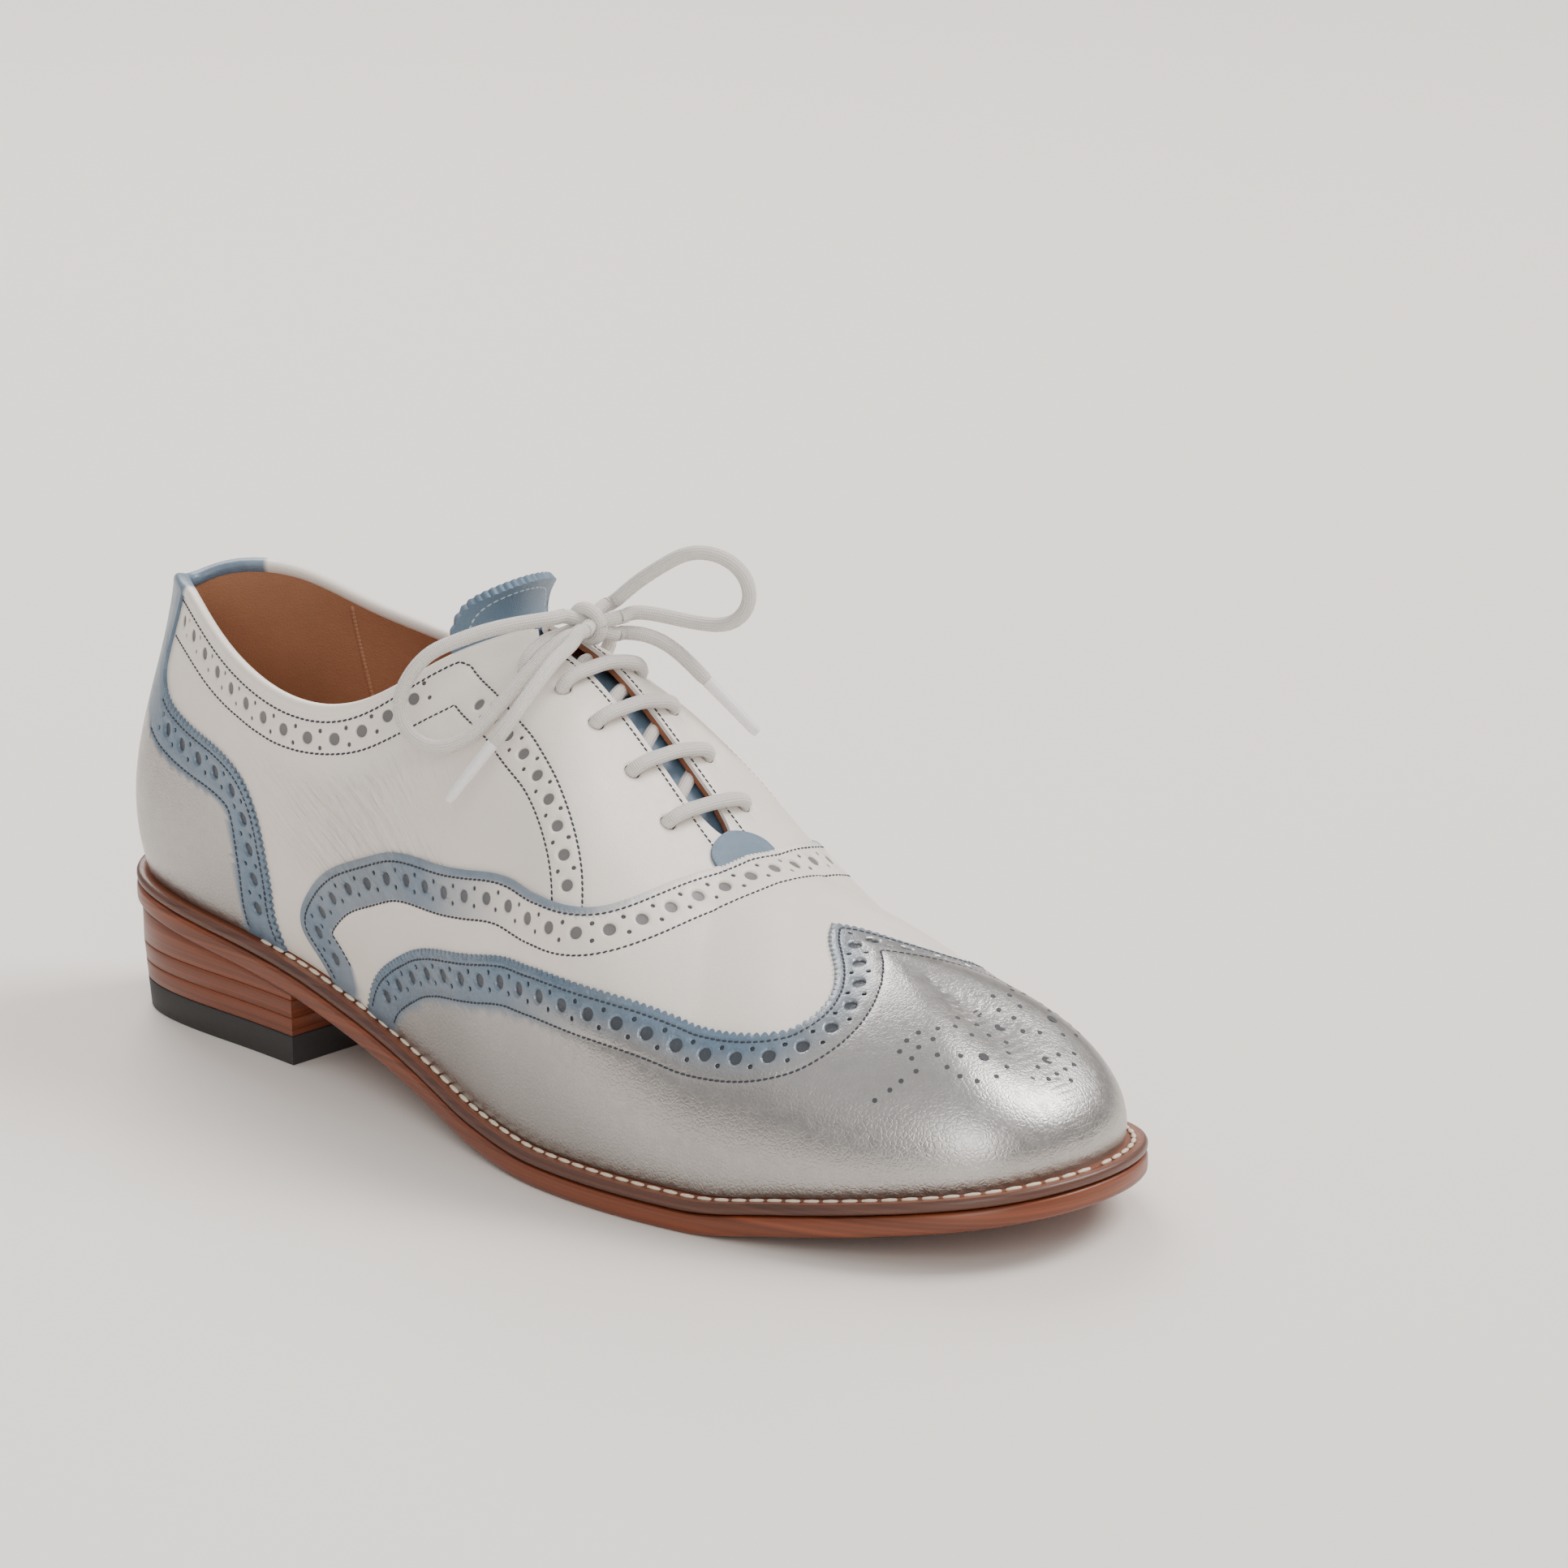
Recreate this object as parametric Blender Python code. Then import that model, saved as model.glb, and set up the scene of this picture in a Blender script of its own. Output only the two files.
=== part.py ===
"""Spectator shoe, the right one of a pair: a winged brogue oxford on a stitched leather sole.

Metres, +Z up, toe towards +X, inner side of the foot towards +Y, standing on z = 0.
The upper is one function of two shares. "along" runs from the heel (0) to the toe (1) round the
welt, and "across" from the outer welt (-1) over the ridge or collar (0) to the inner welt (1).
Every leather piece is a sheet cut out of that function between two heights above it.
"""
import bpy
import bmesh
import numpy as np
from math import pi
from mathutils import Vector
from mathutils.geometry import delaunay_2d_cdt

# Driving sizes
LENGTH = 0.300
BALL_WIDTH = 0.104
FACING_HEIGHT = 0.104
HEEL_LENGTH = 0.074
HEEL_RISE = 0.028
TOE_SPRING = 0.0116
GAP = 0.0003
SHEET_GAP = 0.0005

# Sole
SOLE_THICKNESS = 0.0052
WELT_THICKNESS = 0.0030
WELT_MARGIN = 0.0072
WELT_SEAT = 0.0026
SOLE_ROUND = 0.0009
INSOLE_THICKNESS = 0.0030
INSOLE_SLACK = 0.0006

# Heel
TOP_PIECE = 0.0075
LIFTS = 2
WEDGE_EDGE = 0.0014
HEEL_INSET = 0.0012
HEEL_TAPER = 0.0016

# Upper
WALL = 0.0022
BINDING_HEIGHT = 0.0018
BINDING_PROUD = 0.0004
SLIT_WIDTH = 0.0118
EYELETS = 5
EYELET_HOLE = 0.0044
EYELET_SIDE = 0.0176
VAMP_LEATHER = 0.0010
WING_LEATHER = 0.0020
COUNTER_LEATHER = 0.0011
TAB_LEATHER = 0.0009
TAB_WIDTH = 0.0190
TAB_DEPTH = 0.0075
SEAM_GAP = 0.0004

# Tongue and lace
TONGUE_THICKNESS = 0.0020
LACE = 0.0034
KNOT_LENGTH = 0.0155
KNOT_WIDTH = 0.0120
KNOT_HEIGHT = 0.0096
TOUCH = 0.00005
AGLET_LENGTH = 0.0170
AGLET = 0.0030

# Fineness of the solids
WELT_POINTS = 46
SHEET_STEP = 0.0088
EDGE_STEP = 0.0050
COLLAR_STEP = 0.0055

# Plan of the outsole: share of LENGTH, outer and inner half width as shares of BALL_WIDTH
OUTLINE = [
    (0.030, 0.188, 0.186),
    (0.085, 0.250, 0.248),
    (0.170, 0.272, 0.268),
    (0.270, 0.300, 0.280),
    (0.380, 0.348, 0.270),
    (0.480, 0.425, 0.300),
    (0.580, 0.492, 0.385),
    (0.670, 0.508, 0.455),
    (0.760, 0.480, 0.482),
    (0.850, 0.420, 0.460),
    (0.920, 0.336, 0.395),
    (0.970, 0.228, 0.282),
]
TOE_POINT = 0.04

# Underside of the outsole: share of LENGTH, share of HEEL_RISE, share of TOE_SPRING
TREAD = [
    (0.000, 1.000, 0.0),
    (0.100, 0.857, 0.0),
    (0.245, 0.666, 0.0),
    (0.320, 0.500, 0.0),
    (0.420, 0.257, 0.0),
    (0.500, 0.079, 0.0),
    (0.585, 0.000, 0.0),
    (0.735, 0.000, 0.0),
    (0.820, 0.000, 0.293),
    (0.900, 0.000, 0.603),
    (1.000, 0.000, 1.000),
]

# Width of the welt beside the upper: along, share of WELT_MARGIN
MARGIN = [(0.00, 0.60), (0.25, 0.62), (0.42, 0.75), (0.60, 0.92), (1.00, 1.00)]

# Sections of the last, from the welt up to the collar or ridge. Columns: along; top point as
# share of LENGTH and as share of BALL_WIDTH beside the ridge; rise above the welt as share of
# FACING_HEIGHT; pitch at the top and lean at the welt in degrees; pull of each end of the curve
SECTIONS = [
    (0.00, 0.031, 0.000, 0.650, 84, 17.0, 0.380, 0.350),
    (0.07, 0.046, 0.072, 0.687, 83, 18.0, 0.390, 0.350),
    (0.15, 0.097, 0.172, 0.717, 80, 14.0, 0.370, 0.350),
    (0.23, 0.162, 0.248, 0.679, 79, 10.0, 0.350, 0.355),
    (0.31, 0.248, 0.306, 0.669, 76, 6.0, 0.340, 0.360),
    (0.38, 0.322, 0.272, 0.737, 68, 5.0, 0.360, 0.380),
    (0.44, 0.378, 0.172, 0.894, 52, 5.0, 0.400, 0.425),
    (0.49, 0.410, 0.060, 0.973, 34, 5.5, 0.475, 0.475),
    (0.53, 0.440, 0.000, 1.000, 14, 6.0, 0.535, 0.515),
    (0.60, 0.518, 0.000, 0.892, 5, 8.0, 0.590, 0.520),
    (0.68, 0.608, 0.000, 0.662, 0, 8.0, 0.580, 0.520),
    (0.76, 0.680, 0.000, 0.510, 0, 9.5, 0.565, 0.535),
    (0.84, 0.748, 0.000, 0.399, 0, 11.0, 0.540, 0.525),
    (0.92, 0.802, 0.000, 0.343, 0, 14.0, 0.515, 0.510),
    (1.00, 0.829, 0.000, 0.308, 0, 16.0, 0.530, 0.520),
]
RIDGE_START = 0.53
RIDGE_SIDE = 0.029

# Edges of the overlays on the outer side, mirrored to the inner: along, share up from the welt
WING_EDGE = [
    (0.333, 0.000), (0.338, 0.060), (0.351, 0.150), (0.383, 0.255), (0.420, 0.308),
    (0.455, 0.315), (0.495, 0.290), (0.540, 0.282), (0.590, 0.312), (0.640, 0.375),
    (0.690, 0.428), (0.730, 0.447), (0.755, 0.480), (0.778, 0.550), (0.798, 0.645),
    (0.810, 0.750), (0.811, 0.850), (0.808, 0.920), (0.814, 1.000),
]
VAMP_EDGE = [
    (0.292, 0.000), (0.281, 0.060), (0.268, 0.130), (0.271, 0.200), (0.288, 0.300),
    (0.321, 0.437), (0.360, 0.535), (0.400, 0.565), (0.437, 0.540), (0.475, 0.483),
    (0.511, 0.428), (0.552, 0.417), (0.593, 0.474), (0.628, 0.600), (0.665, 0.790),
    (0.698, 0.940), (0.706, 1.000),
]
COUNTER_EDGE = [
    (0.240, 0.000), (0.234, 0.100), (0.238, 0.200), (0.245, 0.330), (0.252, 0.450),
    (0.254, 0.550), (0.246, 0.622), (0.222, 0.646), (0.188, 0.634), (0.150, 0.628),
    (0.120, 0.650), (0.101, 0.710), (0.104, 0.800), (0.118, 0.900), (0.132, 1.000),
]

# Eyelet rows, slit and tab along the ridge
FIRST_EYELET = 0.515
LAST_EYELET = 0.645
SLIT_END = 0.692
BINDING_END = 0.508

# Tongue from under the vamp to its free end: share of LENGTH, share of FACING_HEIGHT above the
# welt at the ball, half width and sag at the edge as shares of BALL_WIDTH
TONGUE = [
    (0.668, 0.485, 0.170, 0.045),
    (0.613, 0.604, 0.185, 0.050),
    (0.571, 0.714, 0.175, 0.060),
    (0.513, 0.852, 0.165, 0.070),
    (0.467, 0.924, 0.155, 0.082),
    (0.437, 0.945, 0.142, 0.088),
    (0.415, 0.955, 0.128, 0.090),
    (0.400, 0.982, 0.120, 0.088),
    (0.393, 1.027, 0.116, 0.078),
    (0.397, 1.070, 0.104, 0.056),
    (0.403, 1.113, 0.064, 0.026),
]

# Free lace, as points from the heel end of the sole: shares of LENGTH, from the ridge to the
# inner side, and up from the floor
KNOT_PLACE = (0.4733, 0.0, 0.3867)
LOOP_OUTER = [
    (0.462, -0.034, 0.395), (0.449, -0.056, 0.393), (0.436, -0.075, 0.389), (0.424, -0.092, 0.383),
    (0.411, -0.108, 0.374), (0.400, -0.120, 0.357), (0.395, -0.127, 0.335), (0.406, -0.128, 0.313),
    (0.430, -0.120, 0.305), (0.448, -0.105, 0.314), (0.458, -0.087, 0.332), (0.465, -0.067, 0.352),
    (0.471, -0.050, 0.368), (0.475, -0.036, 0.378),
]
LOOP_INNER = [
    (0.480, 0.030, 0.404), (0.495, 0.036, 0.418), (0.512, 0.043, 0.431), (0.534, 0.054, 0.443),
    (0.554, 0.067, 0.440), (0.567, 0.077, 0.425), (0.568, 0.080, 0.404), (0.556, 0.076, 0.388),
    (0.533, 0.066, 0.384), (0.511, 0.052, 0.388), (0.496, 0.041, 0.391), (0.488, 0.031, 0.391),
]
END_OUTER = [
    (0.492, -0.034, 0.384), (0.497, -0.053, 0.378), (0.502, -0.078, 0.367), (0.503, -0.100, 0.351),
    (0.500, -0.114, 0.336), (0.494, -0.124, 0.322),
]
END_INNER = [
    (0.489, 0.030, 0.376), (0.500, 0.036, 0.375), (0.510, 0.044, 0.370), (0.520, 0.052, 0.361),
    (0.529, 0.058, 0.351), (0.538, 0.064, 0.340),
]

# Where the strands meet the knot's flat ends: shares of LENGTH from the heel and up from the floor
SEATS_OUTER = {"loop": (0.4653, 0.3953), "back": (0.4767, 0.3820), "end": (0.4900, 0.3880), "bar": (0.4600, 0.3780)}
SEATS_INNER = {"loop": (0.4727, 0.3973), "back": (0.4873, 0.3900), "end": (0.4853, 0.3763), "bar": (0.4617, 0.3783)}


def clear_scene():
    for thing in list(bpy.data.objects):
        bpy.data.objects.remove(thing)


def finish(name, colour, roughness, metallic=0.0):
    """Principled material of one plain colour."""
    material = bpy.data.materials.new(name)
    material.use_nodes = True
    shader = material.node_tree.nodes["Principled BSDF"]
    shader.inputs["Base Color"].default_value = (*colour, 1.0)
    shader.inputs["Roughness"].default_value = roughness
    shader.inputs["Metallic"].default_value = metallic
    return material


def spline(knots, values, closed=False):
    """Cubic spline through rows of values, natural at its ends or closed."""
    knots = np.asarray(knots, float)
    values = np.asarray(values, float)
    count = len(knots)
    step = np.diff(knots)
    system = np.zeros((count, count))
    right = np.zeros((count, values.shape[1]))
    for i in range(1, count - 1):
        system[i, i - 1] = step[i - 1]
        system[i, i] = 2 * (step[i - 1] + step[i])
        system[i, i + 1] = step[i]
        right[i] = 6 * ((values[i + 1] - values[i]) / step[i] - (values[i] - values[i - 1]) / step[i - 1])
    if closed:
        system[0, 0] = 2 * (step[0] + step[-1])
        system[0, 1] = step[0]
        system[0, count - 2] = step[-1]
        right[0] = 6 * ((values[1] - values[0]) / step[0] - (values[-1] - values[-2]) / step[-1])
        system[-1, 0] = 1
        system[-1, -1] = -1
    else:
        system[0, 0] = 1
        system[-1, -1] = 1
    bend = np.linalg.solve(system, right)

    def at(place):
        place = np.asarray(place, float)
        i = np.clip(np.searchsorted(knots, place, side="right") - 1, 0, count - 2)
        before = (knots[i + 1] - place)[..., None]
        after = (place - knots[i])[..., None]
        h = step[i][..., None]
        cubic = (bend[i] * before**3 + bend[i + 1] * after**3) / (6 * h)
        return cubic + (values[i] / h - bend[i] * h / 6) * before + (values[i + 1] / h - bend[i + 1] * h / 6) * after

    return at


def chords(points):
    """Running length along a row of points."""
    return np.concatenate([[0], np.cumsum(np.linalg.norm(np.diff(points, axis=0), axis=1))])


def level_curve(knots, values):
    """Cubic through the points that never swings past them."""
    knots = np.asarray(knots, float)
    values = np.asarray(values, float)
    step = np.diff(knots)
    rise = np.diff(values) / step
    slope = np.zeros(len(knots))
    for i in range(1, len(knots) - 1):
        if rise[i - 1] * rise[i] > 0:
            first = 2 * step[i] + step[i - 1]
            second = step[i] + 2 * step[i - 1]
            slope[i] = (first + second) / (first / rise[i - 1] + second / rise[i])
    slope[0] = rise[0]
    slope[-1] = rise[-1]

    def at(place):
        place = np.asarray(place, float)
        i = np.clip(np.searchsorted(knots, place, side="right") - 1, 0, len(knots) - 2)
        t = (place - knots[i]) / step[i]
        steady = values[i] * (2 * t**3 - 3 * t**2 + 1) + values[i + 1] * (3 * t**2 - 2 * t**3)
        return steady + step[i] * (slope[i] * (t**3 - 2 * t**2 + t) + slope[i + 1] * (t**3 - t**2))

    return at


def tread_curve():
    """Height of the outsole's underside above the floor, along the length."""
    places = [row[0] * LENGTH for row in TREAD]
    heights = [row[1] * HEEL_RISE + row[2] * TOE_SPRING for row in TREAD]
    return level_curve(places, heights)


def outline_curves():
    """Each side of the sole's outline from heel to toe: shares of its length, points, outward normals."""
    rows = np.array(OUTLINE)
    outer = np.stack([rows[:, 0] * LENGTH, -rows[:, 1] * BALL_WIDTH], 1)
    inner = np.stack([rows[:, 0] * LENGTH, rows[:, 2] * BALL_WIDTH], 1)
    heel = [[0.0, 0.0]]
    toe = [[LENGTH, TOE_POINT * BALL_WIDTH]]
    ring = np.vstack([heel, outer, toe, inner[::-1], heel])
    run = chords(ring)
    curve = spline(run, ring, closed=True)
    turn = run[len(rows) + 1]
    sides = []
    for start, end, hand in ((0.0, turn, 1), (run[-1], turn, -1)):
        points = curve(np.linspace(start, end, 1201))
        length = chords(points)
        along = np.gradient(points, length, axis=0)
        along /= np.linalg.norm(along, axis=1)[:, None]
        normal = np.stack([along[:, 1], -along[:, 0]], 1) * hand
        sides.append((length / length[-1], points, normal))
    return sides


def section_curve():
    """Spline of the section table, mirrored past heel and toe so that both ends are smooth."""
    rows = np.array(SECTIONS, float)
    heel = rows[1:4][::-1] * [-1, 1, -1, 1, 1, 1, 1, 1]
    toe = rows[-4:-1][::-1].copy()
    toe[:, 0] = 2 - toe[:, 0]
    rows = np.vstack([heel, rows, toe])
    return spline(rows[:, 0], rows[:, 1:])


tread = tread_curve()
SIDES = outline_curves()
section = section_curve()
margin_share = spline([row[0] for row in MARGIN], [[row[1]] for row in MARGIN])


def outline(along, side, inset=0.0):
    """Plan point and outward normal of the sole's edge. side is 0 outer or 1 inner."""
    share, points, normal = SIDES[side]
    place = np.stack([np.interp(along, share, points[:, k]) for k in (0, 1)], -1)
    out = np.stack([np.interp(along, share, normal[:, k]) for k in (0, 1)], -1)
    return place - out * np.asarray(inset)[..., None], out


def margin(along):
    return margin_share(along)[..., 0] * WELT_MARGIN


def smooth(low, high, value):
    t = np.clip((value - low) / (high - low), 0, 1)
    return t * t * (3 - 2 * t)


def skin(along, across):
    """Outer face of the upper's main leather."""
    along, across = np.broadcast_arrays(np.asarray(along, float), np.asarray(across, float))
    past = (along > 1) | (along < 0)
    across = np.where(past, -across, across)
    along = np.where(along > 1, 2 - along, np.abs(along))
    inner = across > 0
    up = (1 - np.abs(across))[..., None]
    inset = margin(along)
    foot_0, out_0 = outline(along, 0, inset)
    foot_1, out_1 = outline(along, 1, inset)
    foot = np.where(inner[..., None], foot_1, foot_0)
    out = np.where(inner[..., None], out_1, out_0)
    row = section(along)
    welt_top = tread(foot[..., 0]) + SOLE_THICKNESS + WELT_THICKNESS
    rise = row[..., 2] * FACING_HEIGHT
    ridge = RIDGE_SIDE * BALL_WIDTH * smooth(0.25, 0.50, along)
    beside = np.where(inner, 1, -1) * np.where(along < RIDGE_START, row[..., 1], 0) * BALL_WIDTH
    base_line = tread(outline(along, 0, inset)[0][..., 0]) + SOLE_THICKNESS + WELT_THICKNESS
    top = np.stack([row[..., 0] * LENGTH, beside + ridge, base_line + rise], -1)
    foot = np.concatenate([foot, welt_top[..., None]], -1)
    span = top[..., :2] - foot[..., :2]
    reach = np.linalg.norm(span, axis=-1)
    over = smooth(0.40, 0.55, along)[..., None]
    inward = -(1 - over) * out + over * span / np.maximum(reach, 1e-6)[..., None]
    inward /= np.linalg.norm(inward, axis=-1)[..., None]
    step = 1e-4
    near = np.minimum(along, 0.98)
    ahead = ridge_height(near + step) - ridge_height(near - step)
    forward = (section(near + step)[..., 0] - section(near - step)[..., 0]) * LENGTH
    slope = over[..., 0] * ahead / forward * inward[..., 0]
    pitch = np.radians(np.clip(row[..., 3], 0, 89)) + np.arctan(slope)
    lean = np.radians(row[..., 4])
    height = top[..., 2] - foot[..., 2]
    arm = reach * np.cos(pitch) + height * np.abs(np.sin(pitch))
    rising = np.concatenate([out * np.sin(lean)[..., None], np.cos(lean)[..., None]], -1)
    arriving = np.concatenate([inward * np.cos(pitch)[..., None], np.sin(pitch)[..., None]], -1)
    low = foot + rising * (row[..., 5] * height)[..., None]
    high = top - arriving * (row[..., 6] * arm)[..., None]
    down = 1 - up
    return down**3 * foot + 3 * up * down**2 * low + 3 * up**2 * down * high + up**3 * top


def ridge_height(along):
    """Height of the collar or ridge above the floor."""
    foot = outline(along, 0, margin(along))[0]
    return tread(foot[..., 0]) + SOLE_THICKNESS + WELT_THICKNESS + section(along)[..., 2] * FACING_HEIGHT


def skin_normal(along, across):
    """Outward normal of the skin, level at the welt so that the sheets stand flat on it."""
    along, across = np.broadcast_arrays(np.asarray(along, float), np.asarray(across, float))
    step = 1e-4
    along = np.where(np.abs(across) < 0.02, np.minimum(along, 0.998), along)
    open_top = along < RIDGE_START
    low = np.where(open_top & (across > 0), np.maximum(across - step, 1e-7), across - step)
    high = np.where(open_top & (across <= 0), np.minimum(across + step, -1e-7), across + step)
    low = np.maximum(low, -1)
    high = np.minimum(high, 1)
    run = skin(along + step, across) - skin(along - step, across)
    rise = skin(along, high) - skin(along, low)
    normal = np.cross(run, rise)
    normal /= np.linalg.norm(normal, axis=-1)[..., None]
    level = smooth(0.0, 0.08, 1 - np.abs(across))
    normal[..., 2] *= level
    return normal / np.linalg.norm(normal, axis=-1)[..., None]


def lift(places, height):
    """Points at one height above the skin."""
    places = np.asarray(places)
    return skin(places[:, 0], places[:, 1]) + skin_normal(places[:, 0], places[:, 1]) * height


def flatten(places):
    """The skin spread out on a plane, where no two places meet: used to triangulate a sheet."""
    along = places[:, 0]
    row = section(along)
    inner = places[:, 1] > 0
    side = np.where(inner, 1, -1)
    top = np.stack([row[:, 0] * LENGTH, side * row[:, 1] * BALL_WIDTH], -1)
    turn = pi - pi / 2 * (smooth(0.0, 0.2, along) + smooth(0.7, 1.0, along))
    out = np.stack([np.cos(turn), side * np.sin(turn)], -1)
    return top + out * np.abs(places[:, 1:]) * FACING_HEIGHT


def march(place, offset):
    """The place an offset of (forward, up) metres away from a place on the skin."""
    along, across = place
    step = 1e-4
    base = skin(along, across)
    run = (skin(along + step, across) - base) / step
    rise = (skin(along, across + step) - base) / step
    normal = np.cross(run, rise)
    normal /= np.linalg.norm(normal)
    forward = run / np.linalg.norm(run)
    upward = np.cross(normal, forward)
    move = forward * offset[0] + upward * offset[1]
    grid = np.stack([run, rise], 1)
    change = np.linalg.lstsq(grid, move, rcond=None)[0]
    return along + change[0], across + change[1]


def beside_ridge(along, side, distance):
    """The place on one side at a distance from the ridge, measured over the skin."""
    across = np.linspace(0, 0.6, 121) * side
    run = chords(skin(np.full(121, along), across))
    return along, side * np.interp(distance, run, np.abs(across))


def resample(places, step):
    """A row of places, evenly spread over the skin with about one step between them."""
    run = chords(skin(places[:, 0], places[:, 1]))
    count = max(2, int(round(run[-1] / step)) + 1)
    even = np.linspace(0, run[-1], count)
    return np.stack([np.interp(even, run, places[:, k]) for k in (0, 1)], 1)


def edge_line(table, side, step=EDGE_STEP):
    """An overlay's edge on one side (-1 outer, 1 inner), from its table, in even steps."""
    rows = np.array(table, float)
    run = chords(rows * [3, 1])
    fine = spline(run, rows)(np.linspace(0, run[-1], 400))
    fine[:, 1] = side * np.clip(1 - fine[:, 1], 0, 1)
    return resample(fine, step)


def inside(points, loops):
    """Which plane points lie inside an odd number of loops."""
    odd = np.zeros(len(points), bool)
    for loop in loops:
        following = np.roll(loop, -1, axis=0)
        for a, b in zip(loop, following):
            crosses = (a[1] > points[:, 1]) != (b[1] > points[:, 1])
            with np.errstate(divide="ignore", invalid="ignore"):
                x = a[0] + (points[:, 1] - a[1]) / (b[1] - a[1]) * (b[0] - a[0])
            odd ^= crosses & (points[:, 0] < x)
    return odd


def grid_places(step):
    """Places spread over the whole skin in rows and columns."""
    girth = 0.5 * (chords(SIDES[0][1])[-1] + chords(SIDES[1][1])[-1])
    columns = np.linspace(0, 1, int(round(girth / step)) + 1)
    places = []
    for along in columns:
        height = chords(skin(np.full(20, along), np.linspace(-1, -0.001, 20)))[-1]
        ups = np.linspace(0, 1, int(round(height / step)) + 1)[1:-1]
        sides = (-1,) if along in (0.0, 1.0) else (-1, 1)
        places += [(along, side * (1 - up)) for side in sides for up in ups]
        if along > RIDGE_START:
            places.append((along, 0.0))
    return np.array(places)


def sheet(name, loops, low, high, material, step=SHEET_STEP):
    """A closed leather sheet inside the loops, between two heights above the skin."""
    borders = np.vstack(loops)
    border_points = skin(borders[:, 0], borders[:, 1])
    flat_loops = [flatten(loop) for loop in loops]
    grid = grid_places(step)
    grid = grid[inside(flatten(grid), flat_loops)]
    points = skin(grid[:, 0], grid[:, 1])
    clear = [np.linalg.norm(border_points - point, axis=1).min() > 0.5 * step for point in points]
    places = np.vstack([borders, grid[np.array(clear)]])
    edges = []
    start = 0
    for loop in loops:
        count = len(loop)
        edges += [(start + i, start + (i + 1) % count) for i in range(count)]
        start += count
    flat = flatten(places)
    _, _, triangles, origins, _, _ = delaunay_2d_cdt([Vector(point) for point in flat], edges, [], 0, 1e-7)
    source = [origin[0] for origin in origins]
    triangles = np.array([[source[k] for k in triangle] for triangle in triangles])
    kept = triangles[inside(flat[triangles].mean(axis=1), flat_loops)].tolist()
    return shell(name, lift(places, high), lift(places, low), kept, material)


def shell(name, outer, inner, triangles, material):
    """Two faces of one triangulation, joined round every border."""
    mesh = bmesh.new()
    top = [mesh.verts.new(point) for point in outer]
    bottom = [mesh.verts.new(point) for point in inner]
    borders = {}
    for triangle in triangles:
        mesh.faces.new([top[k] for k in triangle])
        mesh.faces.new([bottom[k] for k in reversed(triangle)])
        for a, b in zip(triangle, triangle[1:] + triangle[:1]):
            if (b, a) in borders:
                del borders[(b, a)]
            else:
                borders[(a, b)] = True
    for a, b in borders:
        mesh.faces.new([top[b], top[a], bottom[a], bottom[b]])
    return make_object(name, mesh, material)


def make_object(name, mesh, material):
    """Turn a bmesh into a named object with flat triangles, its faces pointing out."""
    loose = [vert for vert in mesh.verts if not vert.link_faces]
    bmesh.ops.delete(mesh, geom=loose, context="VERTS")
    bmesh.ops.triangulate(mesh, faces=mesh.faces[:])
    bmesh.ops.recalc_face_normals(mesh, faces=mesh.faces[:])
    data = bpy.data.meshes.new(name)
    mesh.to_mesh(data)
    mesh.free()
    data.materials.append(material)
    thing = bpy.data.objects.new(name, data)
    bpy.context.scene.collection.objects.link(thing)
    return thing


def sole_ring(inset, height):
    """A ring of points round the whole sole at an inset from its edge and a height over its tread."""
    along = (1 - np.cos(np.linspace(0, pi, WELT_POINTS + 1))) / 2
    along = 0.55 * np.linspace(0, 1, WELT_POINTS + 1) + 0.45 * along
    outer = outline(along, 0, np.broadcast_to(inset(along), along.shape))[0]
    inner = outline(along, 1, np.broadcast_to(inset(along), along.shape))[0]
    plan = np.vstack([outer, inner[-2:0:-1]])
    return np.column_stack([plan, tread(plan[:, 0]) + height])


def join_rings(mesh, first, second):
    count = len(first)
    for i in range(count):
        j = (i + 1) % count
        mesh.faces.new([first[i], first[j], second[j], second[i]])


def close_ring(mesh, ring):
    """Strips across a heel-to-toe ring, from its outer side to its inner side."""
    count = len(ring)
    half = count // 2
    mesh.faces.new([ring[0], ring[1], ring[-1]])
    for i in range(1, half - 1):
        mesh.faces.new([ring[i], ring[i + 1], ring[count - i - 1], ring[count - i]])
    mesh.faces.new([ring[half - 1], ring[half], ring[half + 1]])


def plate(name, rings, material):
    """A solid through stacked rings, closed below the first and above the last."""
    mesh = bmesh.new()
    levels = [[mesh.verts.new(point) for point in ring] for ring in rings]
    for lower, upper in zip(levels, levels[1:]):
        join_rings(mesh, lower, upper)
    close_ring(mesh, levels[0])
    close_ring(mesh, levels[-1])
    return make_object(name, mesh, material)


def constant(value):
    return lambda along: np.full(np.shape(along), value)


def make_outsole(material):
    rounded = constant(SOLE_ROUND)
    edge = constant(0.0)
    rings = [
        sole_ring(rounded, 0.0),
        sole_ring(edge, SOLE_ROUND),
        sole_ring(edge, SOLE_THICKNESS - GAP),
    ]
    return plate("outsole", rings, material)


def make_welt(material):
    """The stitched welt, a flat band between the sole's edge and the insole."""
    def seat(along):
        return margin(along) + WELT_SEAT

    top = SOLE_THICKNESS + WELT_THICKNESS - GAP
    mesh = bmesh.new()
    rings = [
        sole_ring(constant(0.0), SOLE_THICKNESS),
        sole_ring(constant(0.0), top - SOLE_ROUND),
        sole_ring(constant(SOLE_ROUND), top),
        sole_ring(seat, top),
        sole_ring(seat, SOLE_THICKNESS),
    ]
    levels = [[mesh.verts.new(point) for point in ring] for ring in rings]
    for lower, upper in zip(levels, levels[1:] + levels[:1]):
        join_rings(mesh, lower, upper)
    return make_object("welt", mesh, material)


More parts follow.
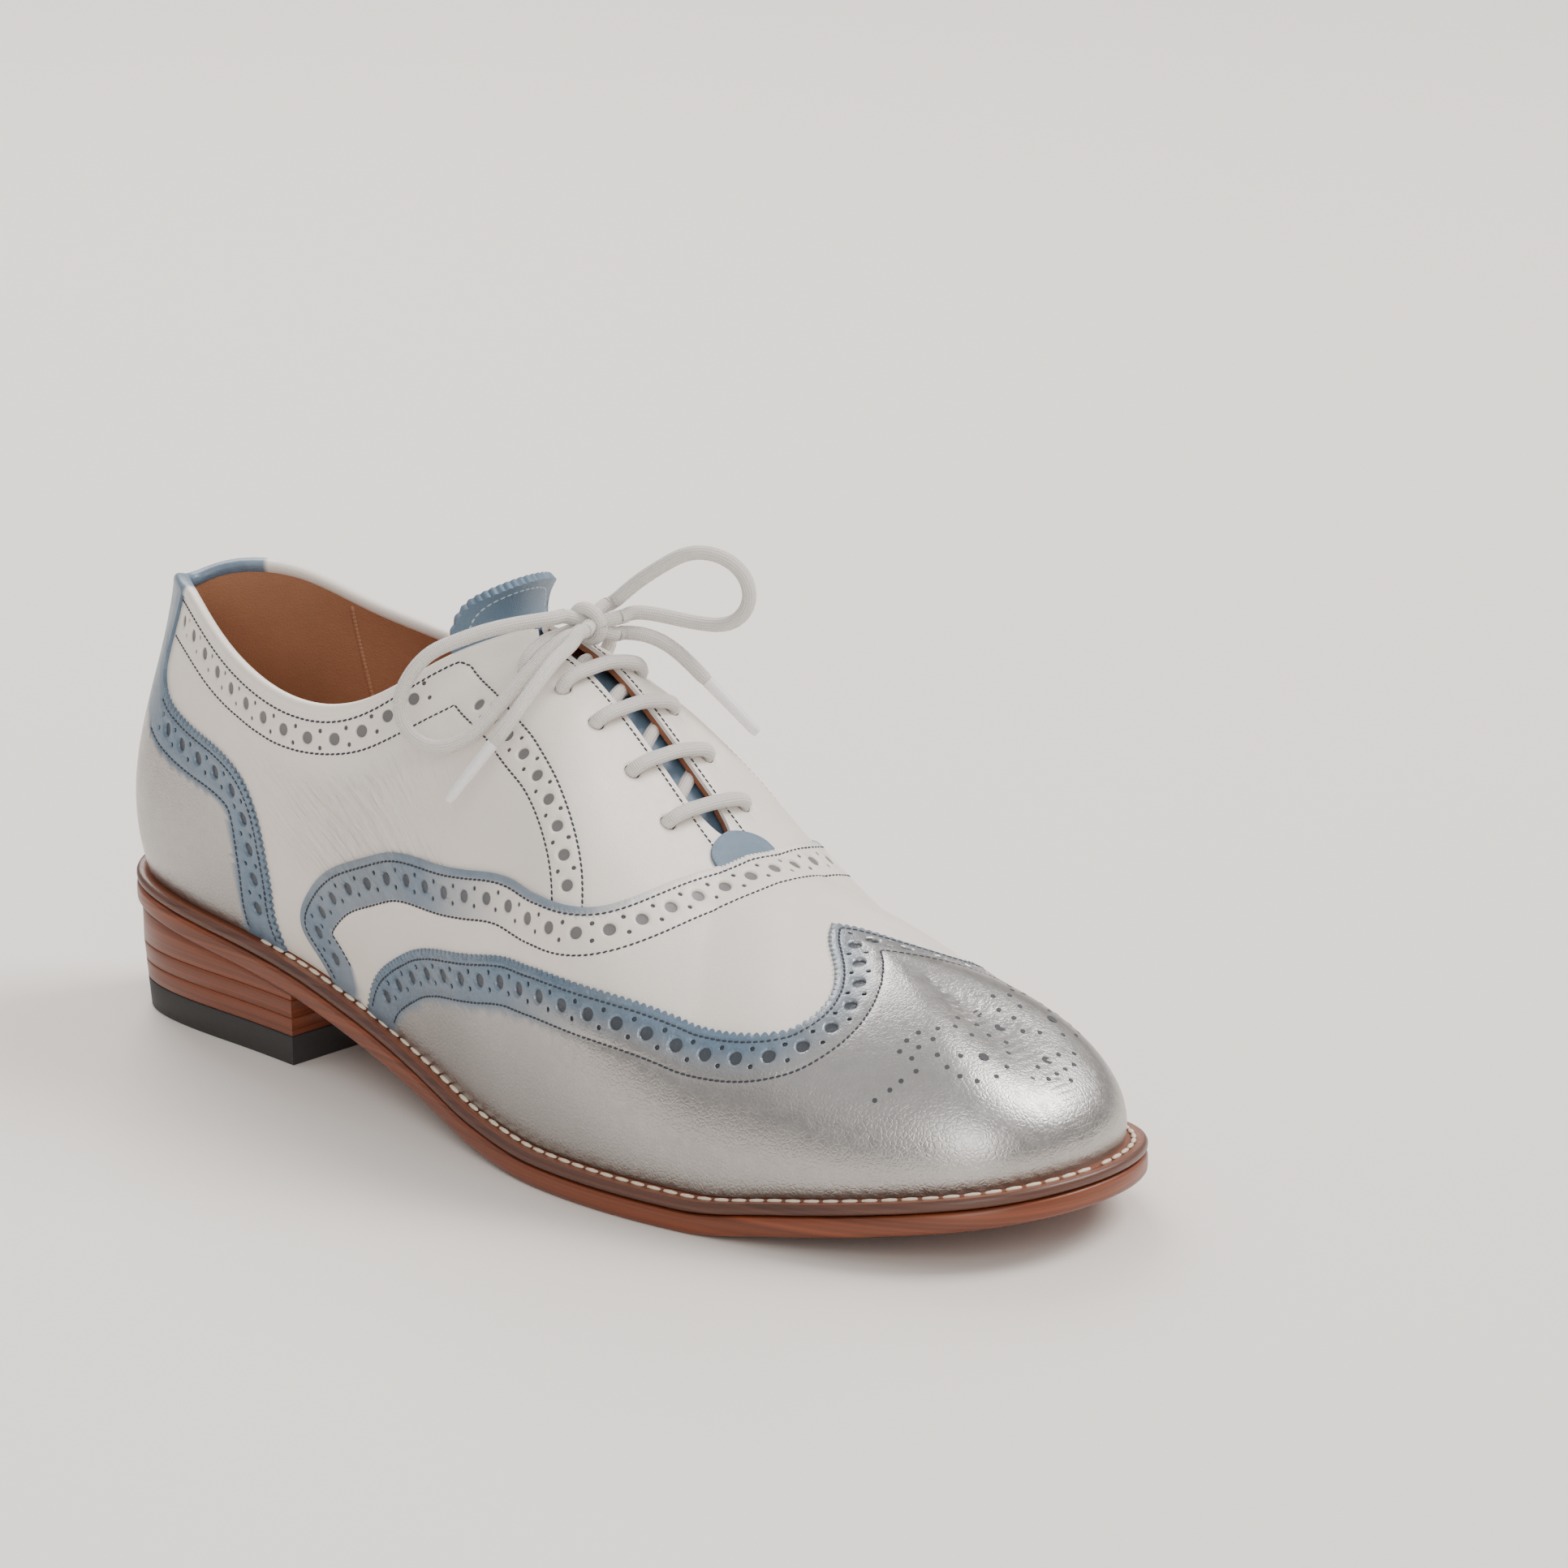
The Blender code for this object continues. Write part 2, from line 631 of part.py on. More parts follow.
def make_insole(material):
    def rim(along):
        return margin(along) + WELT_SEAT + INSOLE_SLACK

    rings = [
        sole_ring(rim, SOLE_THICKNESS),
        sole_ring(rim, SOLE_THICKNESS + INSOLE_THICKNESS),
    ]
    return plate("insole", rings, material)


def heel_ring(inset, height):
    """Plan of the heel from breast to breast round the back. height is a number or a function of x."""
    fine = np.linspace(0, 0.45, 400)
    sides = []
    for side in (0, 1):
        plan = outline(fine, side, np.full(400, inset))[0]
        end = np.interp(HEEL_LENGTH - inset, plan[:, 0], fine)
        along = end * np.sin(np.linspace(0, pi / 2, 15))
        sides.append(outline(along, side, np.full(15, inset))[0])
    plan = np.vstack([sides[0][::-1], sides[1][1:]])
    heights = height(plan[:, 0]) if callable(height) else np.full(len(plan), height)
    return np.column_stack([plan, heights])


def heel_block(name, bottom, top, bottom_inset, top_inset, material):
    """One layer of the heel: two rings joined, each closed by strips from side to side."""
    mesh = bmesh.new()
    low = [mesh.verts.new(point) for point in heel_ring(bottom_inset, bottom)]
    high = [mesh.verts.new(point) for point in heel_ring(top_inset, top)]
    join_rings(mesh, low, high)
    for ring in (low, high):
        count = len(ring)
        for i in range(count // 2 - 1):
            mesh.faces.new([ring[i], ring[i + 1], ring[count - 2 - i], ring[count - 1 - i]])
        middle = count // 2
        mesh.faces.new([ring[middle - 1], ring[middle], ring[middle + 1]])
    return make_object(name, mesh, material)


def make_heel(leather, rubber):
    """Rubber top piece on the floor, level lifts over it and a wedge that follows the sole."""
    breast = float(tread(HEEL_LENGTH))
    stack = breast - GAP - WEDGE_EDGE
    lift_height = (stack - TOP_PIECE) / LIFTS

    def inset(height):
        return HEEL_INSET + HEEL_TAPER * (1 - height / breast)

    heel_block("heel_top_piece", 0.0, TOP_PIECE - GAP, inset(0), inset(TOP_PIECE), rubber)
    for i in range(LIFTS):
        bottom = TOP_PIECE + i * lift_height
        top = bottom + lift_height
        heel_block(f"heel_lift_{i + 1}", bottom, top - GAP, inset(bottom), inset(top), leather)
    heel_block("heel_wedge", stack, lambda x: tread(x) - GAP, inset(stack), HEEL_INSET, leather)


def welt_line(side, start, end):
    """Places along the welt on one side."""
    count = int(round(abs(end - start) * LENGTH * 1.15 / EDGE_STEP)) + 1
    along = np.linspace(start, end, max(3, count))
    return np.stack([along, np.full(len(along), float(side))], 1)


def throat_edge(side):
    """One edge of the slit between the facings, from the collar down to the rounded end."""
    along = np.linspace(0.40, SLIT_END, 300)
    half = SLIT_WIDTH / 2
    line = []
    for place in along[along > RIDGE_START - 0.012]:
        shrink = np.sqrt(np.clip((SLIT_END - place) / (half * 1.9 / LENGTH), 0, 1))
        line.append(beside_ridge(place, side, half * min(1.0, shrink)))
    return np.array(line)


def collar_line(side):
    """The collar's rim from the heel to the slit, in the steps that all pieces on it share."""
    along = np.linspace(0, RIDGE_START - 0.012, 200)
    collar = np.stack([along, np.full(200, side * 1e-6)], 1)
    slit = throat_edge(side)
    corner = skin(slit[:1, 0], slit[:1, 1])
    near = np.linalg.norm(skin(collar[:, 0], collar[:, 1]) - corner, axis=1)
    return resample(collar[:near.argmin() - 3], COLLAR_STEP)


def opening_loop():
    """One loop round the collar and the slit: heel, outer side, slit, inner side, heel."""
    halves = [np.vstack([collar_line(side), resample(throat_edge(side), EDGE_STEP)]) for side in (-1, 1)]
    return np.vstack([halves[0], halves[1][-2:0:-1]])


def welt_loop():
    outer = welt_line(-1, 0, 1)
    inner = welt_line(1, 1, 0)
    return np.vstack([outer, inner[1:-1]])


def eyelet_places():
    rows = np.linspace(FIRST_EYELET, LAST_EYELET, EYELETS)
    return [(side, [beside_ridge(row, side, EYELET_SIDE) for row in rows]) for side in (-1, 1)]


def round_hole(place, diameter, count=8):
    turns = [2 * pi * i / count for i in range(count)]
    return np.array([march(place, (np.cos(turn) * diameter / 2, np.sin(turn) * diameter / 2)) for turn in turns])


def make_upper(material):
    loops = [welt_loop(), opening_loop()]
    for _, places in eyelet_places():
        loops += [round_hole(place, EYELET_HOLE) for place in places]
    return sheet("upper", loops, -WALL, 0.0, material)


def mirrored_edge(table):
    """An overlay's whole edge: up the outer side, over the ridge and down the inner side."""
    outer = edge_line(table, -1)
    inner = edge_line(table, 1)
    outer[-1, 1] = 0.0
    return np.vstack([outer, inner[-2::-1]])


def slide(line, distance):
    """Move an open line of places sideways over the skin, to the left of its direction."""
    points = skin(line[:, 0], line[:, 1])
    heading = np.gradient(points, axis=0)
    normal = skin_normal(line[:, 0], line[:, 1])
    way = np.cross(normal, heading)
    way /= np.linalg.norm(way, axis=1)[:, None]
    step = 1e-4
    moved = []
    for place, point, push in zip(line, points, way * distance):
        forward = skin(place[0] + step, place[1]) - point
        upward = skin(place[0], place[1] + step) - point
        grid = np.stack([forward, upward], 1) / step
        moved.append(place + np.linalg.lstsq(grid, push, rcond=None)[0])
    return np.array(moved)


def make_wing_cap(material):
    edge = mirrored_edge(WING_EDGE)
    start = edge[0, 0]
    toe = np.vstack([welt_line(1, start, 1), welt_line(-1, 1, start)[1:]])
    loop = np.vstack([edge, toe[1:-1]])
    return sheet("wing_cap", [loop], SHEET_GAP, WING_LEATHER, material)


def make_vamp(material):
    """The vamp shows as a strip between its own edge and the wing cap's."""
    edge = mirrored_edge(VAMP_EDGE)
    wing = slide(mirrored_edge(WING_EDGE), SEAM_GAP)
    wing[0, 1] = -1.0
    wing[-1, 1] = 1.0
    inner = welt_line(1, edge[-1, 0], wing[-1, 0])
    outer = welt_line(-1, wing[0, 0], edge[0, 0])
    loop = np.vstack([edge, inner[1:-1], wing[::-1], outer[1:-1]])
    return sheet("vamp", [loop], SHEET_GAP, VAMP_LEATHER, material)


def make_counter(material):
    """Heel counter and back stay in one piece, up to the collar."""
    halves = []
    for side in (-1, 1):
        edge = edge_line(COUNTER_EDGE, side)
        rim = collar_line(side)
        rim = rim[rim[:, 0] <= edge[-1, 0]]
        edge[-1] = rim[-1]
        welt = welt_line(side, edge[0, 0], 0)
        halves.append(np.vstack([welt[::-1], edge[1:], rim[-2:0:-1]]))
    loop = np.vstack([halves[0], [[0.0, -1e-6]], halves[1][:0:-1]])
    return sheet("heel_counter", [loop], SHEET_GAP, COUNTER_LEATHER, material)


def make_tab(material):
    """The half moon that covers the end of the slit, up against the vamp's edge."""
    edge = slide(mirrored_edge(VAMP_EDGE), SEAM_GAP)
    points = skin(edge[:, 0], edge[:, 1])
    run = chords(points)
    ridge = run[np.abs(edge[:, 1]).argmin()]
    beside = np.linspace(-TAB_WIDTH / 2, TAB_WIDTH / 2, 9)
    base = np.stack([np.interp(ridge + beside, run, edge[:, k]) for k in (0, 1)], 1)
    arc = []
    for share, place in zip(beside / (TAB_WIDTH / 2), base):
        arc.append(march(place, (-TAB_DEPTH * np.sqrt(max(0.0, 1 - share**2)), 0)))
    loop = np.vstack([base, arc[-2:0:-1]])
    return sheet("throat_tab", [loop], SHEET_GAP, TAB_LEATHER, material, step=0.004)


def tube_mesh(rings):
    """A closed solid through rings of equal count, with a face on each end."""
    mesh = bmesh.new()
    levels = [[mesh.verts.new(point) for point in ring] for ring in rings]
    for lower, upper in zip(levels, levels[1:]):
        join_rings(mesh, lower, upper)
    mesh.faces.new(levels[0][::-1])
    mesh.faces.new(levels[-1])
    return mesh


def make_binding(material):
    """The rolled binding that caps the collar's rim, open at the throat."""
    halves = [collar_line(side) for side in (-1, 1)]
    line = np.vstack([halves[0][:0:-1], halves[1]])
    line = line[line[:, 0] < BINDING_END]
    rim = skin(line[:, 0], line[:, 1])
    side = np.sign(line[:, 1])
    below = skin(line[:, 0], side * 0.01)
    out = skin_normal(line[:, 0], line[:, 1])
    rise = rim - below
    rise /= np.linalg.norm(rise, axis=1)[:, None]
    half = WALL / 2 + BINDING_PROUD
    profile = [(-1, 0), (1, 0), (1, 0.5), (0.5, 1), (-0.5, 1), (-1, 0.5)]
    rings = []
    for point, normal, upward in zip(rim, out, rise):
        middle = point - normal * WALL / 2 + upward * GAP
        rings.append([middle + normal * half * a + upward * BINDING_HEIGHT * b for a, b in profile])
    return make_object("collar_binding", tube_mesh(rings), material)


def make_tongue(material):
    """A curved flap under the facings, from below the vamp to its free round end."""
    rows = np.array(TONGUE)
    ball = SOLE_THICKNESS + WELT_THICKNESS
    scale = [LENGTH, FACING_HEIGHT, BALL_WIDTH, BALL_WIDTH]
    rows = rows * scale + [0, ball, 0, 0]
    run = chords(rows[:, :2])
    places = np.linspace(0, run[-1], 20)
    centre = spline(run, rows)(places)
    heading = np.gradient(centre[:, :2], axis=0)
    heading /= np.linalg.norm(heading, axis=1)[:, None]
    shares = np.linspace(-1, 1, 9)
    outer = []
    inner = []
    for (x, z, half, sag), (dx, dz) in zip(centre, heading):
        bend = np.array([dz, 0.0, -dx])
        for share in shares:
            point = np.array([x, RIDGE_SIDE * BALL_WIDTH + share * half, z]) - bend * sag * share**2
            tilt = bend + np.array([0.0, 1.7 * sag / half * share, 0.0])
            outer.append(point)
            inner.append(point - tilt / np.linalg.norm(tilt) * TONGUE_THICKNESS)
    columns = len(shares)
    triangles = []
    for i in range(len(places) - 1):
        for j in range(columns - 1):
            a = i * columns + j
            triangles += [[a, a + 1, a + columns], [a + 1, a + columns + 1, a + columns]]
    return shell("tongue", outer, inner, triangles, material)


def make_tube(name, points, diameter, material):
    """A lace stretch: a straight-sided curve through the points, with filled ends."""
    data = bpy.data.curves.new(name, "CURVE")
    data.dimensions = "3D"
    data.bevel_depth = diameter / 2
    data.bevel_resolution = 2
    data.use_fill_caps = True
    data.resolution_u = 1
    data.render_resolution_u = 0
    run = data.splines.new("POLY")
    run.points.add(len(points) - 1)
    for spot, point in zip(run.points, points):
        spot.co = (*point, 1.0)
    data.materials.append(material)
    thing = bpy.data.objects.new(name, data)
    bpy.context.scene.collection.objects.link(thing)
    return thing


def smooth_route(points, step):
    """Evenly spaced points along a smooth curve through the given ones."""
    points = np.asarray(points, float)
    curve = spline(chords(points), points)
    fine = curve(np.linspace(0, chords(points)[-1], 400))
    run = chords(fine)
    count = max(3, int(round(run[-1] / step)) + 1)
    even = np.linspace(0, run[-1], count)
    return np.stack([np.interp(even, run, fine[:, k]) for k in range(3)], 1)


def over_skin(start, end, shares, height):
    """Points above the skin on the straight way, seen from above, between two places."""
    first = skin(*start)
    last = skin(*end)
    points = []
    for share in shares:
        place = np.array([0.5 * (start[0] + end[0]), start[1] * (1 - share) + end[1] * share])
        target = first * (1 - share) + last * share
        for _ in range(8):
            step = 1e-4
            here = skin(*place)
            run = (skin(place[0] + step, place[1]) - here) / step
            rise = (skin(place[0], place[1] + step) - here) / step
            grid = np.stack([run[:2], rise[:2]], 1)
            place = place + 0.8 * np.linalg.lstsq(grid, target[:2] - here[:2], rcond=None)[0]
        points.append(lift([place], height)[0])
    return points


def make_bars(material):
    """The lace's outer bars, each from one eyelet to its partner, down into both holes."""
    outer, inner = [places for _, places in eyelet_places()]
    ride = LACE / 2 + GAP
    for i in range(1, EYELETS):
        dips = [lift([place], 0.15 * LACE) for place in (outer[i], inner[i])]
        shoulders = [over_skin(outer[i], inner[i], [share], 0.9 * ride) for share in (0.07, 0.93)]
        middle = over_skin(outer[i], inner[i], (0.17, 0.33, 0.50, 0.67, 0.83), 1.2 * ride)
        route = np.vstack([dips[0], shoulders[0], middle, shoulders[1], dips[1]])
        make_tube(f"lace_bar_{i + 1}", route, LACE, material)


def place_free(row):
    """A point of the free lace in metres."""
    return np.array([row[0] * LENGTH, row[1] * LENGTH + RIDGE_SIDE * BALL_WIDTH, row[2] * LENGTH])


def make_knot(material):
    """The bow's knot, a squat barrel lying across the top of the facings."""
    middle = place_free(KNOT_PLACE)
    turns = [2 * pi * i / 12 for i in range(12)]
    rings = []
    for across, swell in ((-1.0, 0.94), (-0.5, 1.0), (0.5, 1.0), (1.0, 0.94)):
        ring = []
        for turn in turns:
            x = np.cos(turn) * swell * KNOT_LENGTH / 2
            z = np.sin(turn) * swell * KNOT_HEIGHT / 2
            ring.append(middle + np.array([x, across * KNOT_WIDTH / 2, z]))
        rings.append(ring)
    return make_object("lace_knot", tube_mesh(rings), material)


def at_knot(seat, side):
    """The two points that start a strand squarely on the knot's flat end. side is -1 or 1."""
    face = np.array([seat[0] * LENGTH, RIDGE_SIDE * BALL_WIDTH + side * (KNOT_WIDTH / 2 + TOUCH), seat[1] * LENGTH])
    return [face, face + np.array([0.0, side * 0.5 * LACE, 0.0])]


def make_top_bars(material):
    """The lace from each top eyelet up to the knot."""
    for (side, places), name, seats in zip(eyelet_places(), ("outer", "inner"), (SEATS_OUTER, SEATS_INNER)):
        hole = places[:1]
        end, before = at_knot(seats["bar"], side)
        dip = lift(hole, 0.15 * LACE)[0]
        shoulder = lift(hole, 0.65 * LACE)[0]
        way = before - shoulder
        shoulder = shoulder + way * (0.3 * LACE / np.linalg.norm(way))
        make_tube(f"lace_bar_1_{name}", [dip, shoulder, before, end], LACE, material)


def make_free_lace(lace, tip):
    step = 2.2 * LACE
    for name, side, loop, end, seats in (
        ("outer", -1, LOOP_OUTER, END_OUTER, SEATS_OUTER),
        ("inner", 1, LOOP_INNER, END_INNER, SEATS_INNER),
    ):
        first = at_knot(seats["loop"], side)
        last = at_knot(seats["back"], side)
        middle = [place_free(row) for row in loop]
        route = smooth_route([first[1], *middle, last[1]], step)
        make_tube(f"lace_loop_{name}", [first[0], *route, last[0]], LACE, lace)
        start = at_knot(seats["end"], side)
        route = smooth_route([start[1], *[place_free(row) for row in end]], step)
        make_tube(f"lace_end_{name}", [start[0], *route], LACE, lace)
        way = Vector(route[-1] - route[-2]).normalized()
        mesh = bmesh.new()
        bmesh.ops.create_cone(mesh, cap_ends=True, segments=10, radius1=AGLET / 2, radius2=0.42 * AGLET,
                              depth=AGLET_LENGTH)
        middle = Vector(route[-1]) + way * (AGLET_LENGTH / 2 + TOUCH)
        bmesh.ops.rotate(mesh, matrix=way.to_track_quat("Z", "Y").to_matrix(), verts=mesh.verts)
        bmesh.ops.translate(mesh, vec=middle, verts=mesh.verts)
        make_object(f"aglet_{name}", mesh, tip)


def stand_on_origin(free_names):
    """Hang every object on one empty, which puts the shoe's box centre over the origin."""
    bpy.context.view_layer.update()
    corners = []
    things = list(bpy.context.scene.objects)
    for thing in things:
        if not thing.name.startswith(free_names):
            corners += [vert.co[:] for vert in thing.data.vertices] if thing.type == "MESH" else []
    corners = np.array(corners)
    middle = (corners.min(0) + corners.max(0)) / 2
    holder = bpy.data.objects.new("shoe_origin", None)
    bpy.context.scene.collection.objects.link(holder)
    holder.location = (-middle[0], -middle[1], 0.0)
    for thing in things:
        thing.parent = holder


def main():
    clear_scene()
    sole_leather = finish("sole_leather", (0.30, 0.11, 0.05), 0.42)
    welt_leather = finish("welt_leather", (0.11, 0.04, 0.025), 0.45)
    rubber = finish("heel_rubber", (0.03, 0.03, 0.03), 0.70)
    lining = finish("lining_leather", (0.45, 0.22, 0.11), 0.60)
    white = finish("white_leather", (0.80, 0.77, 0.73), 0.42)
    silver = finish("silver_leather", (0.62, 0.61, 0.60), 0.32, 0.85)
    blue = finish("blue_leather", (0.23, 0.33, 0.45), 0.50)
    cotton = finish("lace_cotton", (0.84, 0.81, 0.77), 0.55)
    clear = finish("lace_tip", (0.88, 0.87, 0.86), 0.30)
    make_outsole(sole_leather)
    make_welt(welt_leather)
    make_insole(lining)
    make_heel(sole_leather, rubber)
    make_upper(white)
    make_vamp(white)
    make_wing_cap(silver)
    make_counter(silver)
    make_tab(blue)
    make_binding(white)
    make_tongue(blue)
    make_bars(cotton)
    make_top_bars(cotton)
    make_knot(cotton)
    make_free_lace(cotton, clear)
    stand_on_origin(("lace_loop", "lace_end", "lace_knot", "aglet"))


main()
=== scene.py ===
"""Spectator shoe: leather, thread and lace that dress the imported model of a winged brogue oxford.

Run as a script, it builds every piece in order. Metres, +Z up, toe towards +X, inner side of the
foot towards +Y. The upper is one function of two shares: "along" runs from the heel (0) to the toe
(1) round the welt, "across" from the outer welt (-1) over the ridge or collar (0) to the inner
welt (1). Every leather panel is cut out of that function and lies at its own height above it.
"""
from math import cos, pi, radians, sin

import bmesh
import bpy
import numpy as np
from bpy.props import FloatProperty, FloatVectorProperty, PointerProperty
from mathutils import Matrix, Vector
from mathutils.geometry import delaunay_2d_cdt
from mathutils.kdtree import KDTree


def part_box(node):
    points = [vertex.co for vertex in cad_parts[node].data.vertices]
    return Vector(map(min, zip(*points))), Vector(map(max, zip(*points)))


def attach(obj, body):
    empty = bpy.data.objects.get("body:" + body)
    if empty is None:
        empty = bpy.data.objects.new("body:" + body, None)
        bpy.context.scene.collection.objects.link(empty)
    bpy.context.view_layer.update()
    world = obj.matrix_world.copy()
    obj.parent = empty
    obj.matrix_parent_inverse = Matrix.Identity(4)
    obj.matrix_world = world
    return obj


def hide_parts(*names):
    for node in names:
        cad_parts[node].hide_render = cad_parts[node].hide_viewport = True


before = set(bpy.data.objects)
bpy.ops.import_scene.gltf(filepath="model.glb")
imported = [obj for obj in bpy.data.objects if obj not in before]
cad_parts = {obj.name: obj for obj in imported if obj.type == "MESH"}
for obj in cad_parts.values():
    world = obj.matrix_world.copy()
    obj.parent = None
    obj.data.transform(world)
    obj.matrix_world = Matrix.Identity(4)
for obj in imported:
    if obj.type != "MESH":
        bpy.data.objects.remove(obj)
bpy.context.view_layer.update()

bl_info = {
    "name": "Spectator shoe",
    "version": (1, 0, 0),
    "blender": (4, 5, 0),
    "location": "3D View > Sidebar > Shoe",
    "description": "Leather, thread and lace of a winged brogue oxford",
    "category": "Add Mesh",
}

# Driving sizes, the same as the solids'
LENGTH = 0.300
BALL_WIDTH = 0.104
FACING_HEIGHT = 0.104
HEEL_LENGTH = 0.074
HEEL_RISE = 0.028
TOE_SPRING = 0.0116
GAP = 0.0003
SOLE_THICKNESS = 0.0052
WELT_THICKNESS = 0.0030
WELT_MARGIN = 0.0072
WELT_SEAT = 0.0026
TOP_PIECE = 0.0075
LIFTS = 2
WEDGE_EDGE = 0.0014
HEEL_INSET = 0.0012
HEEL_TAPER = 0.0016
WALL = 0.0022
SLIT_WIDTH = 0.0118
EYELETS = 5
EYELET_SIDE = 0.0176
TAB_WIDTH = 0.0190
TAB_DEPTH = 0.0075
TONGUE_THICKNESS = 0.0020
LACE = 0.0034
KNOT_WIDTH = 0.0120
TOUCH = 0.00005
AGLET_LENGTH = 0.0170
AGLET = 0.0030

# Heights above the skin of each leather layer: face, back
QUARTER = (0.0, -0.0009)
LINING = (-0.0010, -0.0022)
VAMP = (0.0010, 0.00003)
WING = (0.0020, 0.00103)
COUNTER = (0.0011, 0.00003)
TAB = (0.0009, 0.00003)

# Plan of the outsole: share of LENGTH, outer and inner half width as shares of BALL_WIDTH
OUTLINE = [
    (0.030, 0.188, 0.186),
    (0.085, 0.250, 0.248),
    (0.170, 0.272, 0.268),
    (0.270, 0.300, 0.280),
    (0.380, 0.348, 0.270),
    (0.480, 0.425, 0.300),
    (0.580, 0.492, 0.385),
    (0.670, 0.508, 0.455),
    (0.760, 0.480, 0.482),
    (0.850, 0.420, 0.460),
    (0.920, 0.336, 0.395),
    (0.970, 0.228, 0.282),
]
TOE_POINT = 0.04

# Underside of the outsole: share of LENGTH, share of HEEL_RISE, share of TOE_SPRING
TREAD = [
    (0.000, 1.000, 0.0),
    (0.100, 0.857, 0.0),
    (0.245, 0.666, 0.0),
    (0.320, 0.500, 0.0),
    (0.420, 0.257, 0.0),
    (0.500, 0.079, 0.0),
    (0.585, 0.000, 0.0),
    (0.735, 0.000, 0.0),
    (0.820, 0.000, 0.293),
    (0.900, 0.000, 0.603),
    (1.000, 0.000, 1.000),
]

# Width of the welt beside the upper: along, share of WELT_MARGIN
MARGIN = [(0.00, 0.60), (0.25, 0.62), (0.42, 0.75), (0.60, 0.92), (1.00, 1.00)]

# Sections of the last, from the welt up to the collar or ridge. Columns: along; top point as
# share of LENGTH and as share of BALL_WIDTH beside the ridge; rise above the welt as share of
# FACING_HEIGHT; pitch at the top and lean at the welt in degrees; pull of each end of the curve
SECTIONS = [
    (0.00, 0.031, 0.000, 0.650, 84, 17.0, 0.380, 0.350),
    (0.07, 0.046, 0.072, 0.687, 83, 18.0, 0.390, 0.350),
    (0.15, 0.097, 0.172, 0.717, 80, 14.0, 0.370, 0.350),
    (0.23, 0.162, 0.248, 0.679, 79, 10.0, 0.350, 0.355),
    (0.31, 0.248, 0.306, 0.669, 76, 6.0, 0.340, 0.360),
    (0.38, 0.322, 0.272, 0.737, 68, 5.0, 0.360, 0.380),
    (0.44, 0.378, 0.172, 0.894, 52, 5.0, 0.400, 0.425),
    (0.49, 0.410, 0.060, 0.973, 34, 5.5, 0.475, 0.475),
    (0.53, 0.440, 0.000, 1.000, 14, 6.0, 0.535, 0.515),
    (0.60, 0.518, 0.000, 0.892, 5, 8.0, 0.590, 0.520),
    (0.68, 0.608, 0.000, 0.662, 0, 8.0, 0.580, 0.520),
    (0.76, 0.680, 0.000, 0.510, 0, 9.5, 0.565, 0.535),
    (0.84, 0.748, 0.000, 0.399, 0, 11.0, 0.540, 0.525),
    (0.92, 0.802, 0.000, 0.343, 0, 14.0, 0.515, 0.510),
    (1.00, 0.829, 0.000, 0.308, 0, 16.0, 0.530, 0.520),
]
RIDGE_START = 0.53
RIDGE_SIDE = 0.029

# Edges of the overlays on the outer side, mirrored to the inner: along, share up from the welt
WING_EDGE = [
    (0.333, 0.000), (0.338, 0.060), (0.351, 0.150), (0.383, 0.255), (0.420, 0.308),
    (0.455, 0.315), (0.495, 0.290), (0.540, 0.282), (0.590, 0.312), (0.640, 0.375),
    (0.690, 0.428), (0.730, 0.447), (0.755, 0.480), (0.778, 0.550), (0.798, 0.645),
    (0.810, 0.750), (0.811, 0.850), (0.808, 0.920), (0.814, 1.000),
]
VAMP_EDGE = [
    (0.292, 0.000), (0.281, 0.060), (0.268, 0.130), (0.271, 0.200), (0.288, 0.300),
    (0.321, 0.437), (0.360, 0.535), (0.400, 0.565), (0.437, 0.540), (0.475, 0.483),
    (0.511, 0.428), (0.552, 0.417), (0.593, 0.474), (0.628, 0.600), (0.665, 0.790),
    (0.699, 0.940), (0.713, 1.000),
]
COUNTER_EDGE = [
    (0.240, 0.000), (0.234, 0.100), (0.238, 0.200), (0.245, 0.330), (0.252, 0.450),
    (0.254, 0.550), (0.246, 0.622), (0.222, 0.646), (0.188, 0.634), (0.150, 0.628),
    (0.120, 0.650), (0.101, 0.710), (0.104, 0.800), (0.118, 0.900), (0.132, 1.000),
]

# Seams of the facing band on the quarters: along, share up from the welt
FACING_REAR = [
    (0.466, 0.865), (0.495, 0.736), (0.517, 0.626), (0.537, 0.576), (0.553, 0.526),
    (0.562, 0.479), (0.566, 0.427), (0.568, 0.390),
]
FACING_FRONT = [
    (0.467, 0.952), (0.497, 0.835), (0.521, 0.733), (0.544, 0.690), (0.566, 0.652),
    (0.580, 0.610), (0.589, 0.560), (0.594, 0.484), (0.596, 0.430),
]
COLLAR_SEAM = [
    (0.112, 0.838), (0.160, 0.831), (0.208, 0.827), (0.261, 0.840), (0.300, 0.850), (0.334, 0.863),
    (0.364, 0.870), (0.392, 0.863), (0.422, 0.856), (0.447, 0.860), (0.466, 0.865),
]

# Eyelet rows and slit along the ridge
FIRST_EYELET = 0.515
LAST_EYELET = 0.645
SLIT_END = 0.692
BINDING_END = 0.508
LINING_SEAM = 0.207

